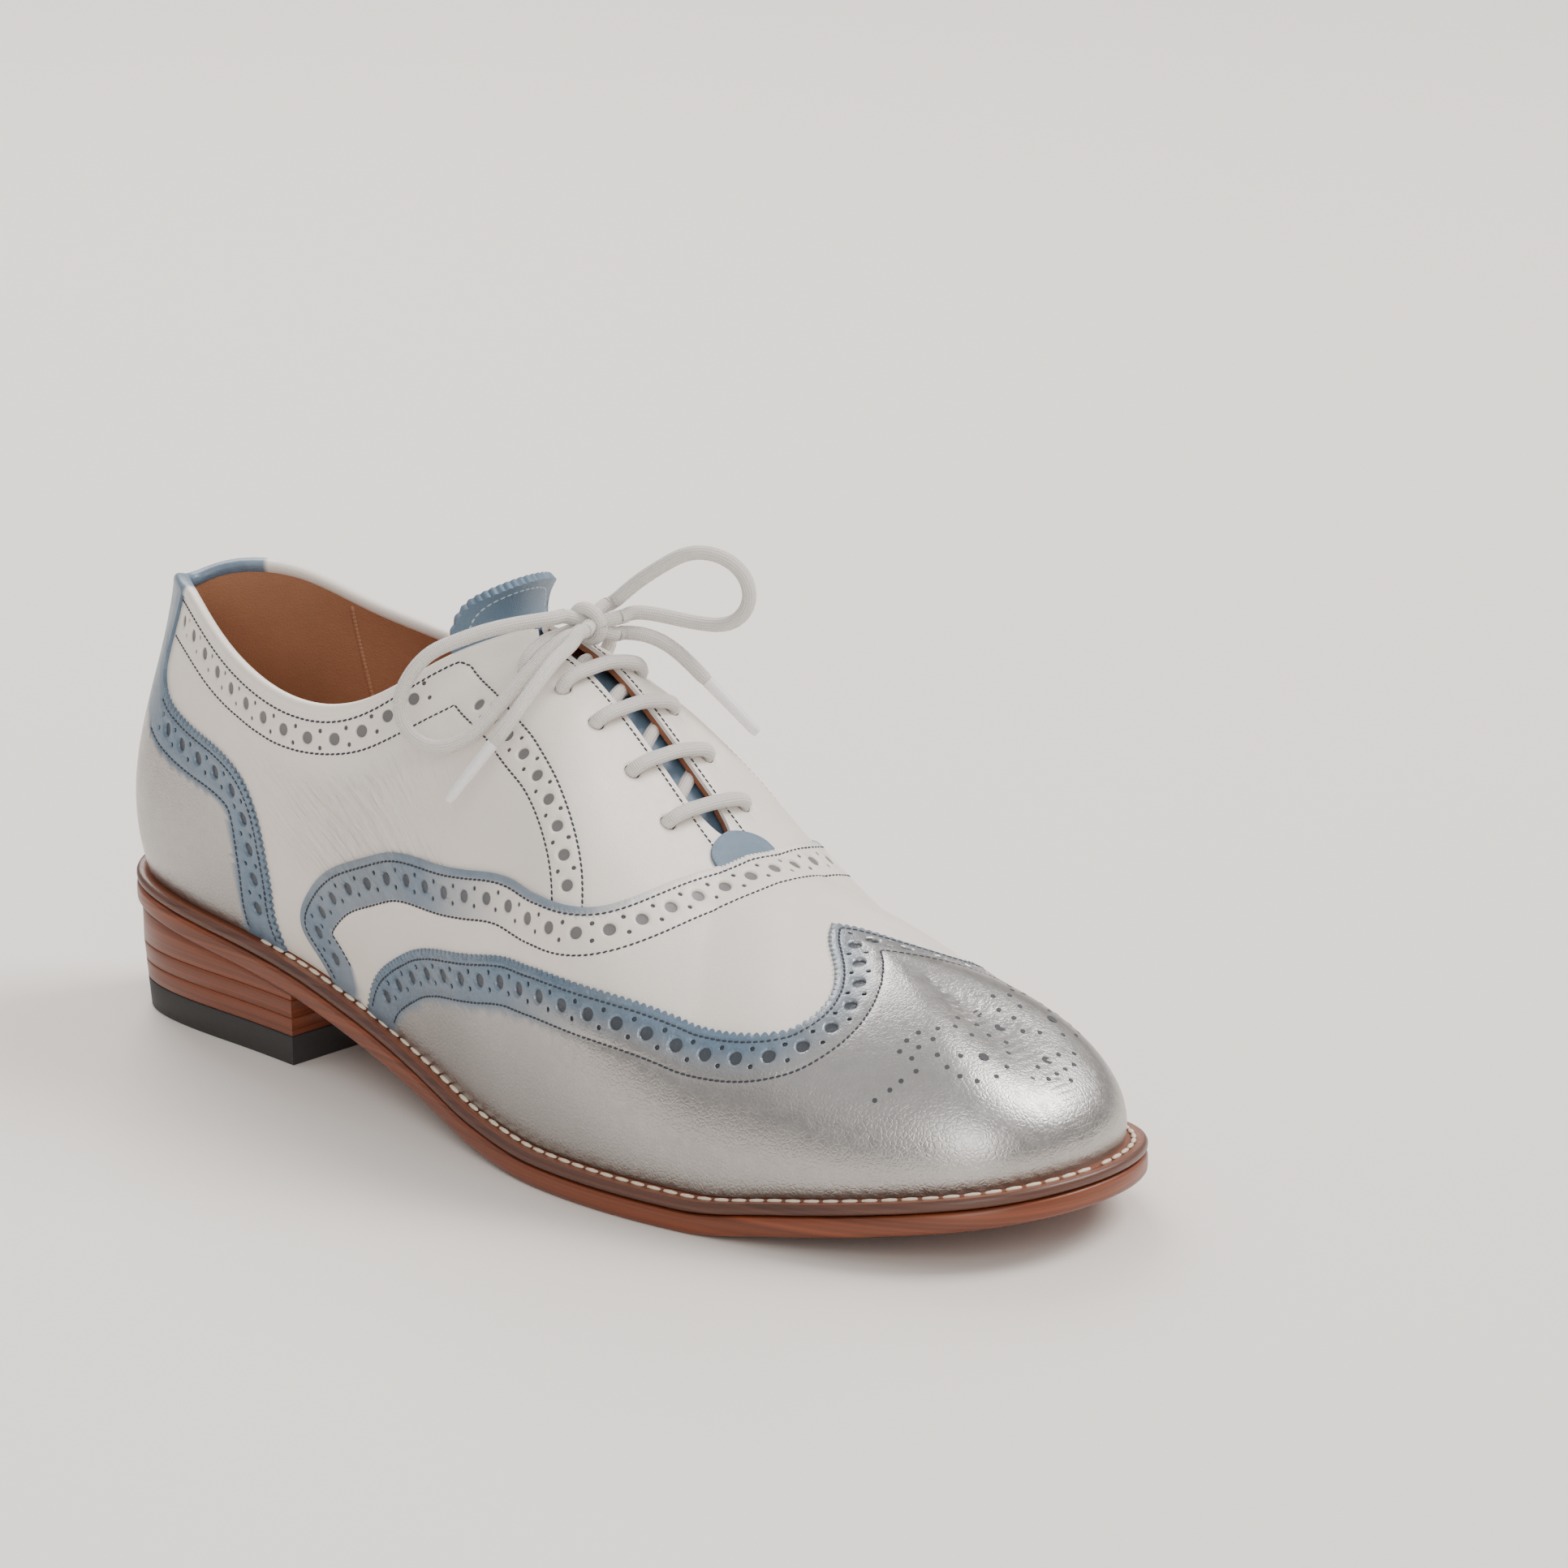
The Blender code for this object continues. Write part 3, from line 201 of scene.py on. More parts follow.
# Toe ornament: its middle as shares of LENGTH and BALL_WIDTH, and its holes as shares of LENGTH
# towards the toe and to either side
MEDALLION_PLACE = (0.890, 0.049)
MEDALLION_TURN = radians(9)
MEDALLION_LARGE = [(-0.018, 0.0), (0.001, 0.0), (0.042, 0.0), (0.016, 0.046)]
MEDALLION_SMALL = [
    (-0.035, 0.108), (-0.027, 0.100), (-0.022, 0.093), (-0.015, 0.084), (-0.023, 0.078), (-0.023, 0.069),
    (-0.034, 0.077), (-0.034, 0.068), (-0.030, 0.059), (-0.021, 0.049), (-0.018, 0.059), (-0.008, 0.068),
    (0.003, 0.072), (0.005, 0.059), (0.014, 0.072), (0.025, 0.067), (0.032, 0.053), (0.031, 0.038),
    (0.022, 0.022), (0.014, 0.012), (0.002, 0.018), (-0.003, 0.033), (-0.015, 0.037), (-0.021, 0.025),
    (-0.010, 0.016), (0.043, 0.014), (0.054, 0.006), (0.047, 0.028), (0.054, 0.017), (0.062, 0.0),
]

# Tongue from under the vamp to its free end: share of LENGTH, share of FACING_HEIGHT above the
# welt at the ball, half width and sag at the edge as shares of BALL_WIDTH
TONGUE = [
    (0.668, 0.485, 0.170, 0.045),
    (0.613, 0.604, 0.185, 0.050),
    (0.571, 0.714, 0.175, 0.060),
    (0.513, 0.852, 0.165, 0.070),
    (0.467, 0.924, 0.155, 0.082),
    (0.437, 0.945, 0.142, 0.088),
    (0.415, 0.955, 0.140, 0.088),
    (0.401, 0.982, 0.156, 0.078),
    (0.397, 1.027, 0.160, 0.050),
    (0.403, 1.068, 0.166, 0.026),
    (0.413, 1.102, 0.172, 0.012),
]
TONGUE_ROUND = 0.150

# Free lace, as points from the heel end of the sole: shares of LENGTH, from the ridge to the
# inner side, and up from the floor
KNOT_PLACE = (0.4733, 0.0, 0.3867)
LOOP_OUTER = [
    (0.462, -0.034, 0.395), (0.449, -0.056, 0.393), (0.436, -0.075, 0.389), (0.424, -0.092, 0.383),
    (0.411, -0.108, 0.374), (0.400, -0.120, 0.357), (0.395, -0.127, 0.335), (0.406, -0.128, 0.313),
    (0.430, -0.120, 0.305), (0.448, -0.105, 0.314), (0.458, -0.087, 0.332), (0.465, -0.067, 0.352),
    (0.471, -0.050, 0.368), (0.475, -0.036, 0.378),
]
LOOP_INNER = [
    (0.480, 0.030, 0.404), (0.495, 0.036, 0.418), (0.512, 0.043, 0.431), (0.534, 0.054, 0.443),
    (0.554, 0.067, 0.440), (0.567, 0.077, 0.425), (0.568, 0.080, 0.404), (0.556, 0.076, 0.388),
    (0.533, 0.066, 0.384), (0.511, 0.052, 0.388), (0.496, 0.041, 0.391), (0.488, 0.031, 0.391),
]
END_OUTER = [
    (0.492, -0.034, 0.384), (0.497, -0.053, 0.378), (0.502, -0.078, 0.367), (0.503, -0.100, 0.351),
    (0.500, -0.114, 0.336), (0.494, -0.124, 0.322),
]
END_INNER = [
    (0.489, 0.030, 0.376), (0.500, 0.036, 0.375), (0.510, 0.044, 0.370), (0.520, 0.052, 0.361),
    (0.529, 0.058, 0.351), (0.538, 0.064, 0.340),
]

# Where the strands meet the knot's flat ends: shares of LENGTH from the heel and up from the floor
SEATS_OUTER = {
    "loop": (0.4653, 0.3953), "back": (0.4767, 0.3820), "end": (0.4900, 0.3880), "bar": (0.4600, 0.3780),
}
SEATS_INNER = {
    "loop": (0.4727, 0.3973), "back": (0.4873, 0.3900), "end": (0.4853, 0.3763), "bar": (0.4617, 0.3783),
}

# Holes: diameter of those that go through, depth of the others, and the least leather between two
EYELET = 0.0040
PIT_DEPTH = 0.00068
HOLE_GAP = 0.0004

# Stitches of the upper: length, width and height, and how deep they sink into the leather
STITCH_SIZE = (0.00124, 0.00056, 0.00042)
STITCH_SINK = 0.00006
FIRST_SEAM = 0.0020

# Spacing of the points in a panel, along a seam and along a cord, and the step of a slope
PANEL_STEP = 0.0021
SEAM_STEP = 0.0013
CORD_STEP = 0.0016
DELTA = 1e-4

# The photograph's camera: place from the heel end of the sole, angles, focal length and width in pixels
CAMERA_PLACE = (1.4524, -1.3134, 0.6281)
CAMERA_YAW = radians(43.48)
CAMERA_PITCH = radians(16.53)
CAMERA_ROLL = radians(-0.42)
FOCAL_PIXELS = 10275
PHOTO_WIDTH = 1932
SENSOR = 36.0


class ShoeSizes(bpy.types.PropertyGroup):
    large_hole: FloatProperty(name="Large hole", description="Diameter of the large punched holes",
                              default=0.0032, unit="LENGTH")
    small_hole: FloatProperty(name="Small hole", description="Diameter of the small punched holes",
                              default=0.0012, unit="LENGTH")
    hole_pitch: FloatProperty(name="Hole pitch", description="From one large hole to the next",
                              default=0.0078, unit="LENGTH")
    hole_line: FloatProperty(name="Hole line", description="From a panel's edge to its row of holes",
                             default=0.0060, unit="LENGTH")
    band: FloatProperty(name="Band", description="From a panel's edge to its second seam",
                        default=0.0112, unit="LENGTH")
    tooth_pitch: FloatProperty(name="Tooth pitch", description="From one pinked tooth to the next",
                               default=0.0018, unit="LENGTH")
    tooth_depth: FloatProperty(name="Tooth depth", description="How far the pinked teeth stand out",
                               default=0.0010, unit="LENGTH")
    stitch: FloatProperty(name="Stitch", description="Pitch of the stitches on the upper",
                          default=0.00150, unit="LENGTH")
    welt_stitch: FloatProperty(name="Welt stitch", description="Pitch of the stitches on the welt",
                               default=0.0047, unit="LENGTH")


class ShoeColours(bpy.types.PropertyGroup):
    white: FloatVectorProperty(name="White", description="Leather of the quarters and vamp",
                               default=(0.86, 0.795, 0.73), subtype="COLOR")
    blue: FloatVectorProperty(name="Blue", description="Dye of the bands, tab and tongue",
                              default=(0.120, 0.185, 0.260), subtype="COLOR")
    silver: FloatVectorProperty(name="Silver", description="Metallic leather of the cap and counter",
                                default=(0.46, 0.445, 0.435), subtype="COLOR")
    lining: FloatVectorProperty(name="Lining", description="Tan leather inside the shoe",
                                default=(0.52, 0.25, 0.135), subtype="COLOR")
    sole: FloatVectorProperty(name="Sole", description="Stained edge of the sole and the heel",
                              default=(0.165, 0.037, 0.011), subtype="COLOR")
    welt: FloatVectorProperty(name="Welt", description="Top of the welt",
                              default=(0.21, 0.065, 0.030), subtype="COLOR")
    thread: FloatVectorProperty(name="Thread", description="Dark thread of the upper",
                                default=(0.030, 0.035, 0.050), subtype="COLOR")
    lace: FloatVectorProperty(name="Lace", description="Waxed cotton of the lace",
                              default=(0.84, 0.80, 0.76), subtype="COLOR")


def spline(knots, values, closed=False):
    """Cubic spline through rows of values, natural at its ends or closed."""
    knots = np.asarray(knots, float)
    values = np.asarray(values, float)
    count = len(knots)
    step = np.diff(knots)
    system = np.zeros((count, count))
    right = np.zeros((count, values.shape[1]))
    for i in range(1, count - 1):
        system[i, i - 1] = step[i - 1]
        system[i, i] = 2 * (step[i - 1] + step[i])
        system[i, i + 1] = step[i]
        right[i] = 6 * ((values[i + 1] - values[i]) / step[i] - (values[i] - values[i - 1]) / step[i - 1])
    if closed:
        system[0, 0] = 2 * (step[0] + step[-1])
        system[0, 1] = step[0]
        system[0, count - 2] = step[-1]
        right[0] = 6 * ((values[1] - values[0]) / step[0] - (values[-1] - values[-2]) / step[-1])
        system[-1, 0] = 1
        system[-1, -1] = -1
    else:
        system[0, 0] = 1
        system[-1, -1] = 1
    bend = np.linalg.solve(system, right)

    def at(place):
        place = np.asarray(place, float)
        i = np.clip(np.searchsorted(knots, place, side="right") - 1, 0, count - 2)
        before = (knots[i + 1] - place)[..., None]
        after = (place - knots[i])[..., None]
        h = step[i][..., None]
        cubic = (bend[i] * before**3 + bend[i + 1] * after**3) / (6 * h)
        left = values[i] / h - bend[i] * h / 6
        right = values[i + 1] / h - bend[i + 1] * h / 6
        return cubic + left * before + right * after

    return at


def chords(points):
    """Running length along a row of points."""
    return np.concatenate([[0], np.cumsum(np.linalg.norm(np.diff(points, axis=0), axis=1))])


def level_curve(knots, values):
    """Cubic through the points that never swings past them."""
    knots = np.asarray(knots, float)
    values = np.asarray(values, float)
    step = np.diff(knots)
    rise = np.diff(values) / step
    slope = np.zeros(len(knots))
    for i in range(1, len(knots) - 1):
        if rise[i - 1] * rise[i] > 0:
            first = 2 * step[i] + step[i - 1]
            second = step[i] + 2 * step[i - 1]
            slope[i] = (first + second) / (first / rise[i - 1] + second / rise[i])
    slope[0] = rise[0]
    slope[-1] = rise[-1]

    def at(place):
        place = np.asarray(place, float)
        i = np.clip(np.searchsorted(knots, place, side="right") - 1, 0, len(knots) - 2)
        t = (place - knots[i]) / step[i]
        steady = values[i] * (2 * t**3 - 3 * t**2 + 1) + values[i + 1] * (3 * t**2 - 2 * t**3)
        return steady + step[i] * (slope[i] * (t**3 - 2 * t**2 + t) + slope[i + 1] * (t**3 - t**2))

    return at


def tread_curve():
    """Height of the outsole's underside above the floor, along the length."""
    places = [row[0] * LENGTH for row in TREAD]
    heights = [row[1] * HEEL_RISE + row[2] * TOE_SPRING for row in TREAD]
    return level_curve(places, heights)


def outline_curves():
    """Each side of the sole's outline from heel to toe: shares of its length, points, outward normals."""
    rows = np.array(OUTLINE)
    outer = np.stack([rows[:, 0] * LENGTH, -rows[:, 1] * BALL_WIDTH], 1)
    inner = np.stack([rows[:, 0] * LENGTH, rows[:, 2] * BALL_WIDTH], 1)
    heel = [[0.0, 0.0]]
    toe = [[LENGTH, TOE_POINT * BALL_WIDTH]]
    ring = np.vstack([heel, outer, toe, inner[::-1], heel])
    run = chords(ring)
    curve = spline(run, ring, closed=True)
    turn = run[len(rows) + 1]
    sides = []
    for start, end, hand in ((0.0, turn, 1), (run[-1], turn, -1)):
        points = curve(np.linspace(start, end, 1201))
        length = chords(points)
        along = np.gradient(points, length, axis=0)
        along /= np.linalg.norm(along, axis=1)[:, None]
        normal = np.stack([along[:, 1], -along[:, 0]], 1) * hand
        sides.append((length / length[-1], points, normal))
    return sides


def section_curve():
    """Spline of the section table, mirrored past heel and toe so that both ends are smooth."""
    rows = np.array(SECTIONS, float)
    heel = rows[1:4][::-1] * [-1, 1, -1, 1, 1, 1, 1, 1]
    toe = rows[-4:-1][::-1].copy()
    toe[:, 0] = 2 - toe[:, 0]
    rows = np.vstack([heel, rows, toe])
    return spline(rows[:, 0], rows[:, 1:])


tread = tread_curve()
SIDES = outline_curves()
section = section_curve()
margin_share = spline([row[0] for row in MARGIN], [[row[1]] for row in MARGIN])


def frame_shift():
    """From the heel end of the sole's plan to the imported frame, whose origin is under the middle."""
    plan = np.vstack([SIDES[0][1], SIDES[1][1]])
    low, high = np.array(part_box("outsole"))
    middle = (plan.min(0) + plan.max(0)) / 2
    return np.array([(low[0] + high[0]) / 2 - middle[0], (low[1] + high[1]) / 2 - middle[1], 0.0])


SHIFT = frame_shift()


def outline(along, side, inset=0.0):
    """Plan point and outward normal of the sole's edge. side is 0 outer or 1 inner."""
    share, points, normal = SIDES[side]
    place = np.stack([np.interp(along, share, points[:, k]) for k in (0, 1)], -1)
    out = np.stack([np.interp(along, share, normal[:, k]) for k in (0, 1)], -1)
    return place - out * np.asarray(inset)[..., None], out


def margin(along):
    return margin_share(along)[..., 0] * WELT_MARGIN


def smooth(low, high, value):
    t = np.clip((value - low) / (high - low), 0, 1)
    return t * t * (3 - 2 * t)


def skin(along, across):
    """Outer face of the upper's main leather."""
    along, across = np.broadcast_arrays(np.asarray(along, float), np.asarray(across, float))
    past = (along > 1) | (along < 0)
    across = np.where(past, -across, across)
    along = np.where(along > 1, 2 - along, np.abs(along))
    inner = across > 0
    up = (1 - np.abs(across))[..., None]
    inset = margin(along)
    foot_0, out_0 = outline(along, 0, inset)
    foot_1, out_1 = outline(along, 1, inset)
    foot = np.where(inner[..., None], foot_1, foot_0)
    out = np.where(inner[..., None], out_1, out_0)
    row = section(along)
    welt_top = tread(foot[..., 0]) + SOLE_THICKNESS + WELT_THICKNESS
    rise = row[..., 2] * FACING_HEIGHT
    ridge = RIDGE_SIDE * BALL_WIDTH * smooth(0.25, 0.50, along)
    beside = np.where(inner, 1, -1) * np.where(along < RIDGE_START, row[..., 1], 0) * BALL_WIDTH
    base_line = tread(outline(along, 0, inset)[0][..., 0]) + SOLE_THICKNESS + WELT_THICKNESS
    top = np.stack([row[..., 0] * LENGTH, beside + ridge, base_line + rise], -1)
    foot = np.concatenate([foot, welt_top[..., None]], -1)
    span = top[..., :2] - foot[..., :2]
    reach = np.linalg.norm(span, axis=-1)
    over = smooth(0.40, 0.55, along)[..., None]
    inward = -(1 - over) * out + over * span / np.maximum(reach, 1e-6)[..., None]
    inward /= np.linalg.norm(inward, axis=-1)[..., None]
    near = np.minimum(along, 0.98)
    ahead = ridge_height(near + DELTA) - ridge_height(near - DELTA)
    forward = (section(near + DELTA)[..., 0] - section(near - DELTA)[..., 0]) * LENGTH
    slope = over[..., 0] * ahead / forward * inward[..., 0]
    pitch = np.radians(np.clip(row[..., 3], 0, 89)) + np.arctan(slope)
    lean = np.radians(row[..., 4])
    height = top[..., 2] - foot[..., 2]
    arm = reach * np.cos(pitch) + height * np.abs(np.sin(pitch))
    rising = np.concatenate([out * np.sin(lean)[..., None], np.cos(lean)[..., None]], -1)
    arriving = np.concatenate([inward * np.cos(pitch)[..., None], np.sin(pitch)[..., None]], -1)
    low = foot + rising * (row[..., 5] * height)[..., None]
    high = top - arriving * (row[..., 6] * arm)[..., None]
    down = 1 - up
    return down**3 * foot + 3 * up * down**2 * low + 3 * up**2 * down * high + up**3 * top


def ridge_height(along):
    """Height of the collar or ridge above the floor."""
    foot = outline(along, 0, margin(along))[0]
    return tread(foot[..., 0]) + SOLE_THICKNESS + WELT_THICKNESS + section(along)[..., 2] * FACING_HEIGHT


def skin_normal(along, across):
    """Outward normal of the skin, level at the welt so that the sheets stand flat on it."""
    along, across = np.broadcast_arrays(np.asarray(along, float), np.asarray(across, float))
    along = np.where(np.abs(across) < 0.02, np.minimum(along, 0.998), along)
    open_top = along < RIDGE_START
    low = np.where(open_top & (across > 0), np.maximum(across - DELTA, 1e-7), across - DELTA)
    high = np.where(open_top & (across <= 0), np.minimum(across + DELTA, -1e-7), across + DELTA)
    low = np.maximum(low, -1)
    high = np.minimum(high, 1)
    run = skin(along + DELTA, across) - skin(along - DELTA, across)
    rise = skin(along, high) - skin(along, low)
    normal = np.cross(run, rise)
    normal /= np.linalg.norm(normal, axis=-1)[..., None]
    level = smooth(0.0, 0.08, 1 - np.abs(across))
    normal[..., 2] *= level
    return normal / np.linalg.norm(normal, axis=-1)[..., None]


def relief(places):
    """Soft creases that wearing presses into the quarters behind the facing band."""
    along = places[:, 0]
    up = 1 - np.abs(places[:, 1])
    height = np.zeros(len(places))
    for start, rise, lean, width, depth in (
        (0.315, 0.66, 0.060, 0.0120, 0.00040),
        (0.352, 0.68, 0.075, 0.0140, 0.00060),
        (0.392, 0.69, 0.085, 0.0150, 0.00055),
        (0.432, 0.68, 0.080, 0.0130, 0.00040),
    ):
        off = along - start + (up - rise) * lean / 0.2
        fade = np.exp(-((up - rise) / 0.13) ** 2)
        height -= depth * fade * np.exp(-(off / width) ** 2)
        height += 0.6 * depth * fade * np.exp(-((off - 1.5 * width) / width) ** 2)
    return height


def lift(places, height):
    """Points at a height above the skin."""
    places = np.asarray(places)
    height = np.broadcast_to(height, len(places)) + relief(places)
    normal = skin_normal(places[:, 0], places[:, 1])
    return skin(places[:, 0], places[:, 1]) + normal * height[:, None]


def flatten(places):
    """The skin spread out on a plane, where no two places meet: used to triangulate a panel."""
    along = places[:, 0]
    row = section(along)
    inner = places[:, 1] > 0
    side = np.where(inner, 1, -1)
    top = np.stack([row[:, 0] * LENGTH, side * row[:, 1] * BALL_WIDTH], -1)
    turn = pi - pi / 2 * (smooth(0.0, 0.2, along) + smooth(0.7, 1.0, along))
    out = np.stack([np.cos(turn), side * np.sin(turn)], -1)
    return top + out * np.abs(places[:, 1:2]) * FACING_HEIGHT


def nudge(places, moves):
    """Places moved over the skin by moves in metres."""
    moved = places[:, :2].astype(float)
    target = skin(moved[:, 0], moved[:, 1]) + moves
    good = np.ones(len(moved), bool)
    for _ in range(2):
        along, across = moved[:, 0], moved[:, 1]
        base = skin(along, across)
        way = np.where(across > 0.5, -DELTA, DELTA)
        run = (skin(along + DELTA, across) - base) / DELTA
        rise = (skin(along, across + way) - base) / way[:, None]
        grid = np.stack([run, rise], 2)
        turned = grid.transpose(0, 2, 1)
        change = np.linalg.solve(turned @ grid, turned @ (target - base)[:, :, None])[:, :, 0]
        moved = moved + change * good[:, None]
        good = (moved[:, 1] * places[:, 1] > 0) | (moved[:, 0] > RIDGE_START)
    past = moved[:, 0] > 1
    moved[past] = np.stack([2 - moved[past, 0], -moved[past, 1]], 1)
    before = moved[:, 0] < 0
    moved[before] = -moved[before]
    return moved


def slide(line, distance):
    """Move an open line of places sideways over the skin, to the left of its direction."""
    points = skin(line[:, 0], line[:, 1])
    heading = np.gradient(points, axis=0)
    way = np.cross(skin_normal(line[:, 0], line[:, 1]), heading)
    way /= np.linalg.norm(way, axis=1)[:, None]
    return nudge(line, way * np.broadcast_to(distance, len(line))[:, None])


def each_side(line, change, top=None):
    """A line changed on each side of the ridge for itself, and joined again on the ridge."""
    halves = []
    for side in (-1, 1):
        part = line[line[:, 1] * side >= 0]
        if len(part) > 2:
            halves.append(change(part, side))
    if len(halves) == 1:
        return halves[0]
    outer, inner = halves
    if top is None:
        tops = []
        for last, before in ((outer[-1], outer[-3]), (inner[0], inner[2])):
            climb = (last[0] - before[0]) / (abs(before[1]) - abs(last[1]))
            tops.append(last[0] + climb * abs(last[1]))
        top = (tops[0] + tops[1]) / 2
    return np.vstack([outer, [[top, 0.0]], inner])


def shift_line(line, distance, step):
    """A line moved far sideways in two moves, evened out after each."""

    def change(part, side):
        for _ in range(2):
            part = slide(part, distance / 2)
            part = resample(part[part[:, 1] * side > 0.004], step)
        return part

    edge = skin(line[:, 0], line[:, 1])
    moved = each_side(line, change)
    clear = distances(skin(moved[:, 0], moved[:, 1]), edge) > 0.96 * abs(distance) - 0.0001
    clear |= moved[:, 1] == 0
    return moved[clear]


def beside_ridge(along, side, distance):
    """The place on one side at a distance from the ridge or rim, measured over the skin."""
    across = np.linspace(1e-6 if along < BINDING_END else 0.0, 0.6, 121) * side
    run = chords(skin(np.full(len(across), along), across))
    return along, side * np.interp(distance, run, np.abs(across))


def resample(places, step):
    """A row of places, evenly spread over the skin with about one step between them."""
    run = chords(skin(places[:, 0], places[:, 1]))
    count = max(2, int(round(run[-1] / step)) + 1)
    even = np.linspace(0, run[-1], count)
    return np.stack([np.interp(even, run, places[:, k]) for k in (0, 1)], 1)


def edge_line(table, side, step=SEAM_STEP):
    """An overlay's edge on one side (-1 outer, 1 inner), from its table, in even steps."""
    rows = np.array(table, float)
    run = chords(rows * [3, 1])
    fine = spline(run, rows)(np.linspace(0, run[-1], 1200))
    fine[:, 1] = side * np.clip(1 - fine[:, 1], 0, 1)
    return resample(fine, step)


def mirrored_edge(table, step):
    """An overlay's whole edge: up the outer side, over the ridge and down the inner side."""
    outer = edge_line(table, -1, step)
    inner = edge_line(table, 1, step)
    outer[-1, 1] = 0.0
    return np.vstack([outer, inner[-2::-1]])


def on_welt(line, reach=0.985):
    """The same line with its ends drawn straight down onto the welt."""
    line = line[np.abs(line[:, 1]) < reach]
    first = [line[0, 0], np.sign(line[0, 1])]
    last = [line[-1, 0], np.sign(line[-1, 1])]
    return np.vstack([[first], line, [last]])


def pinked(line, pitch, depth):
    """An edge cut into small round teeth whose tips stand on the line, one of them on the ridge."""

    def cut(part, side):
        fine = resample(part, pitch / 8)
        run = chords(skin(fine[:, 0], fine[:, 1]))
        run = run[-1] - run if side < 0 else run
        fine = slide(fine, depth * (np.abs(np.cos(pi * run / pitch)) - 1))
        return fine[fine[:, 1] * side > 0.003]

    return each_side(line, cut, line[np.abs(line[:, 1]).argmin(), 0])


def welt_line(side, start, end):
    """Places along the welt on one side, whose outline is about 1.15 times the shoe's length."""
    count = int(round(abs(end - start) * LENGTH * 1.15 / PANEL_STEP)) + 1
    along = np.linspace(start, end, max(3, count))
    return np.stack([along, np.full(len(along), float(side))], 1)


def inside(points, loops):
    """Which plane points lie inside an odd number of loops."""
    odd = np.zeros(len(points), bool)
    for loop in loops:
        following = np.roll(loop, -1, axis=0)
        for a, b in zip(loop, following):
            near = np.flatnonzero((a[1] > points[:, 1]) != (b[1] > points[:, 1]))
            x = a[0] + (points[near, 1] - a[1]) / (b[1] - a[1]) * (b[0] - a[0])
            odd[near] ^= points[near, 0] < x
    return odd


def grid_places(step):
    """Places spread over the whole skin in rows and columns."""
    girth = 0.5 * (chords(SIDES[0][1])[-1] + chords(SIDES[1][1])[-1])
    columns = np.linspace(0, 1, int(round(girth / step)) + 1)
    places = []
    for i, along in enumerate(columns):
        height = chords(skin(np.full(20, along), np.linspace(-1, -0.001, 20)))[-1]
        count = int(round(height / step))
        ups = (np.arange(1, count) + 0.25 * (-1) ** i) / count
        for side in (-1,) if along in (0.0, 1.0) else (-1, 1):
            places.append(np.stack([np.full(len(ups), along), side * (1 - ups)], 1))
        if along > RIDGE_START:
            places.append(np.array([[along, 0.0]]))
    return np.vstack(places)


def with_depth(line, depth):
    return np.column_stack([line[:, :2], np.broadcast_to(depth, len(line))])


def tree_of(points):
    tree = KDTree(len(points))
    for i, point in enumerate(points):
        tree.insert(point, i)
    tree.balance()
    return tree


def distances(points, others):
    """From each point to the nearest of the others."""
    tree = tree_of(others)
    return np.array([tree.find(point)[2] for point in points])


def hole_rings(holes):
    """Rings round each hole: its rim, the foot of its wall, its middle and the level leather round it."""
    kept = []
    rims = []
    feet = []
    middles = []
    brims = []
    for place, diameter in holes:
        large = diameter > 0.002
        count = 14 if large else 8
        turns = np.arange(count) * 2 * pi / count
        circle = np.stack([np.cos(turns), np.sin(turns)], 1)
        spot = np.repeat(np.array(place)[None, :2], count, 0)
        heading, upward = directions(spot[:1])
        moves = circle[:, :1] * heading + circle[:, 1:] * upward
        soft = 0.16 * diameter
        depth = PIT_DEPTH if large else 0.8 * PIT_DEPTH
        rim = nudge(spot, moves * diameter / 2)
        foot = nudge(spot, moves * diameter * 0.44)
        if not inside(flatten(foot), [flatten(rim)]).all():
            continue
        kept.append((place, diameter))
        rims.append(with_depth(rim, 0.6 * soft))
        if diameter < EYELET:
            feet.append(with_depth(foot, depth))
            middles.append(with_depth(spot[:1], depth + 0.0001))
        brims.append(with_depth(nudge(spot, moves * (diameter / 2 + 0.45 * soft)), 0.16 * soft))
        brims.append(with_depth(nudge(spot, moves * (diameter / 2 + 1.3 * soft)), 0.0))
    return kept, rims, feet, middles, brims


def free_holes(holes, loops, flat_loops):
    """The holes that lie inside the loops, clear of their edges and of each other."""
    if not holes:
        return holes
    places = np.array([place for place, _ in holes])
    points = skin(places[:, 0], places[:, 1])
    border = np.vstack([skin(loop[:, 0], loop[:, 1]) for loop in loops])
    room = distances(points, border)
    good = inside(flatten(places), flat_loops)
    kept = []
    for i, (_, diameter) in enumerate(holes):
        apart = all(
            np.linalg.norm(points[i] - points[k]) > (diameter + holes[k][1]) / 2 + HOLE_GAP for k in kept
        )
        if good[i] and apart and room[i] > diameter / 2 + 0.0006:
            kept.append(i)
    return [holes[i] for i in kept]


def directions(spot):
    """Two level directions on the skin at a place: along, and square to it."""
    base = skin(spot[:, 0], spot[:, 1])
    heading = skin(spot[:, 0] + DELTA, spot[:, 1]) - base
    heading /= np.linalg.norm(heading, axis=1)[:, None]
    upward = np.cross(skin_normal(spot[:, 0], spot[:, 1]), heading)
    return heading, upward / np.linalg.norm(upward, axis=1)[:, None]


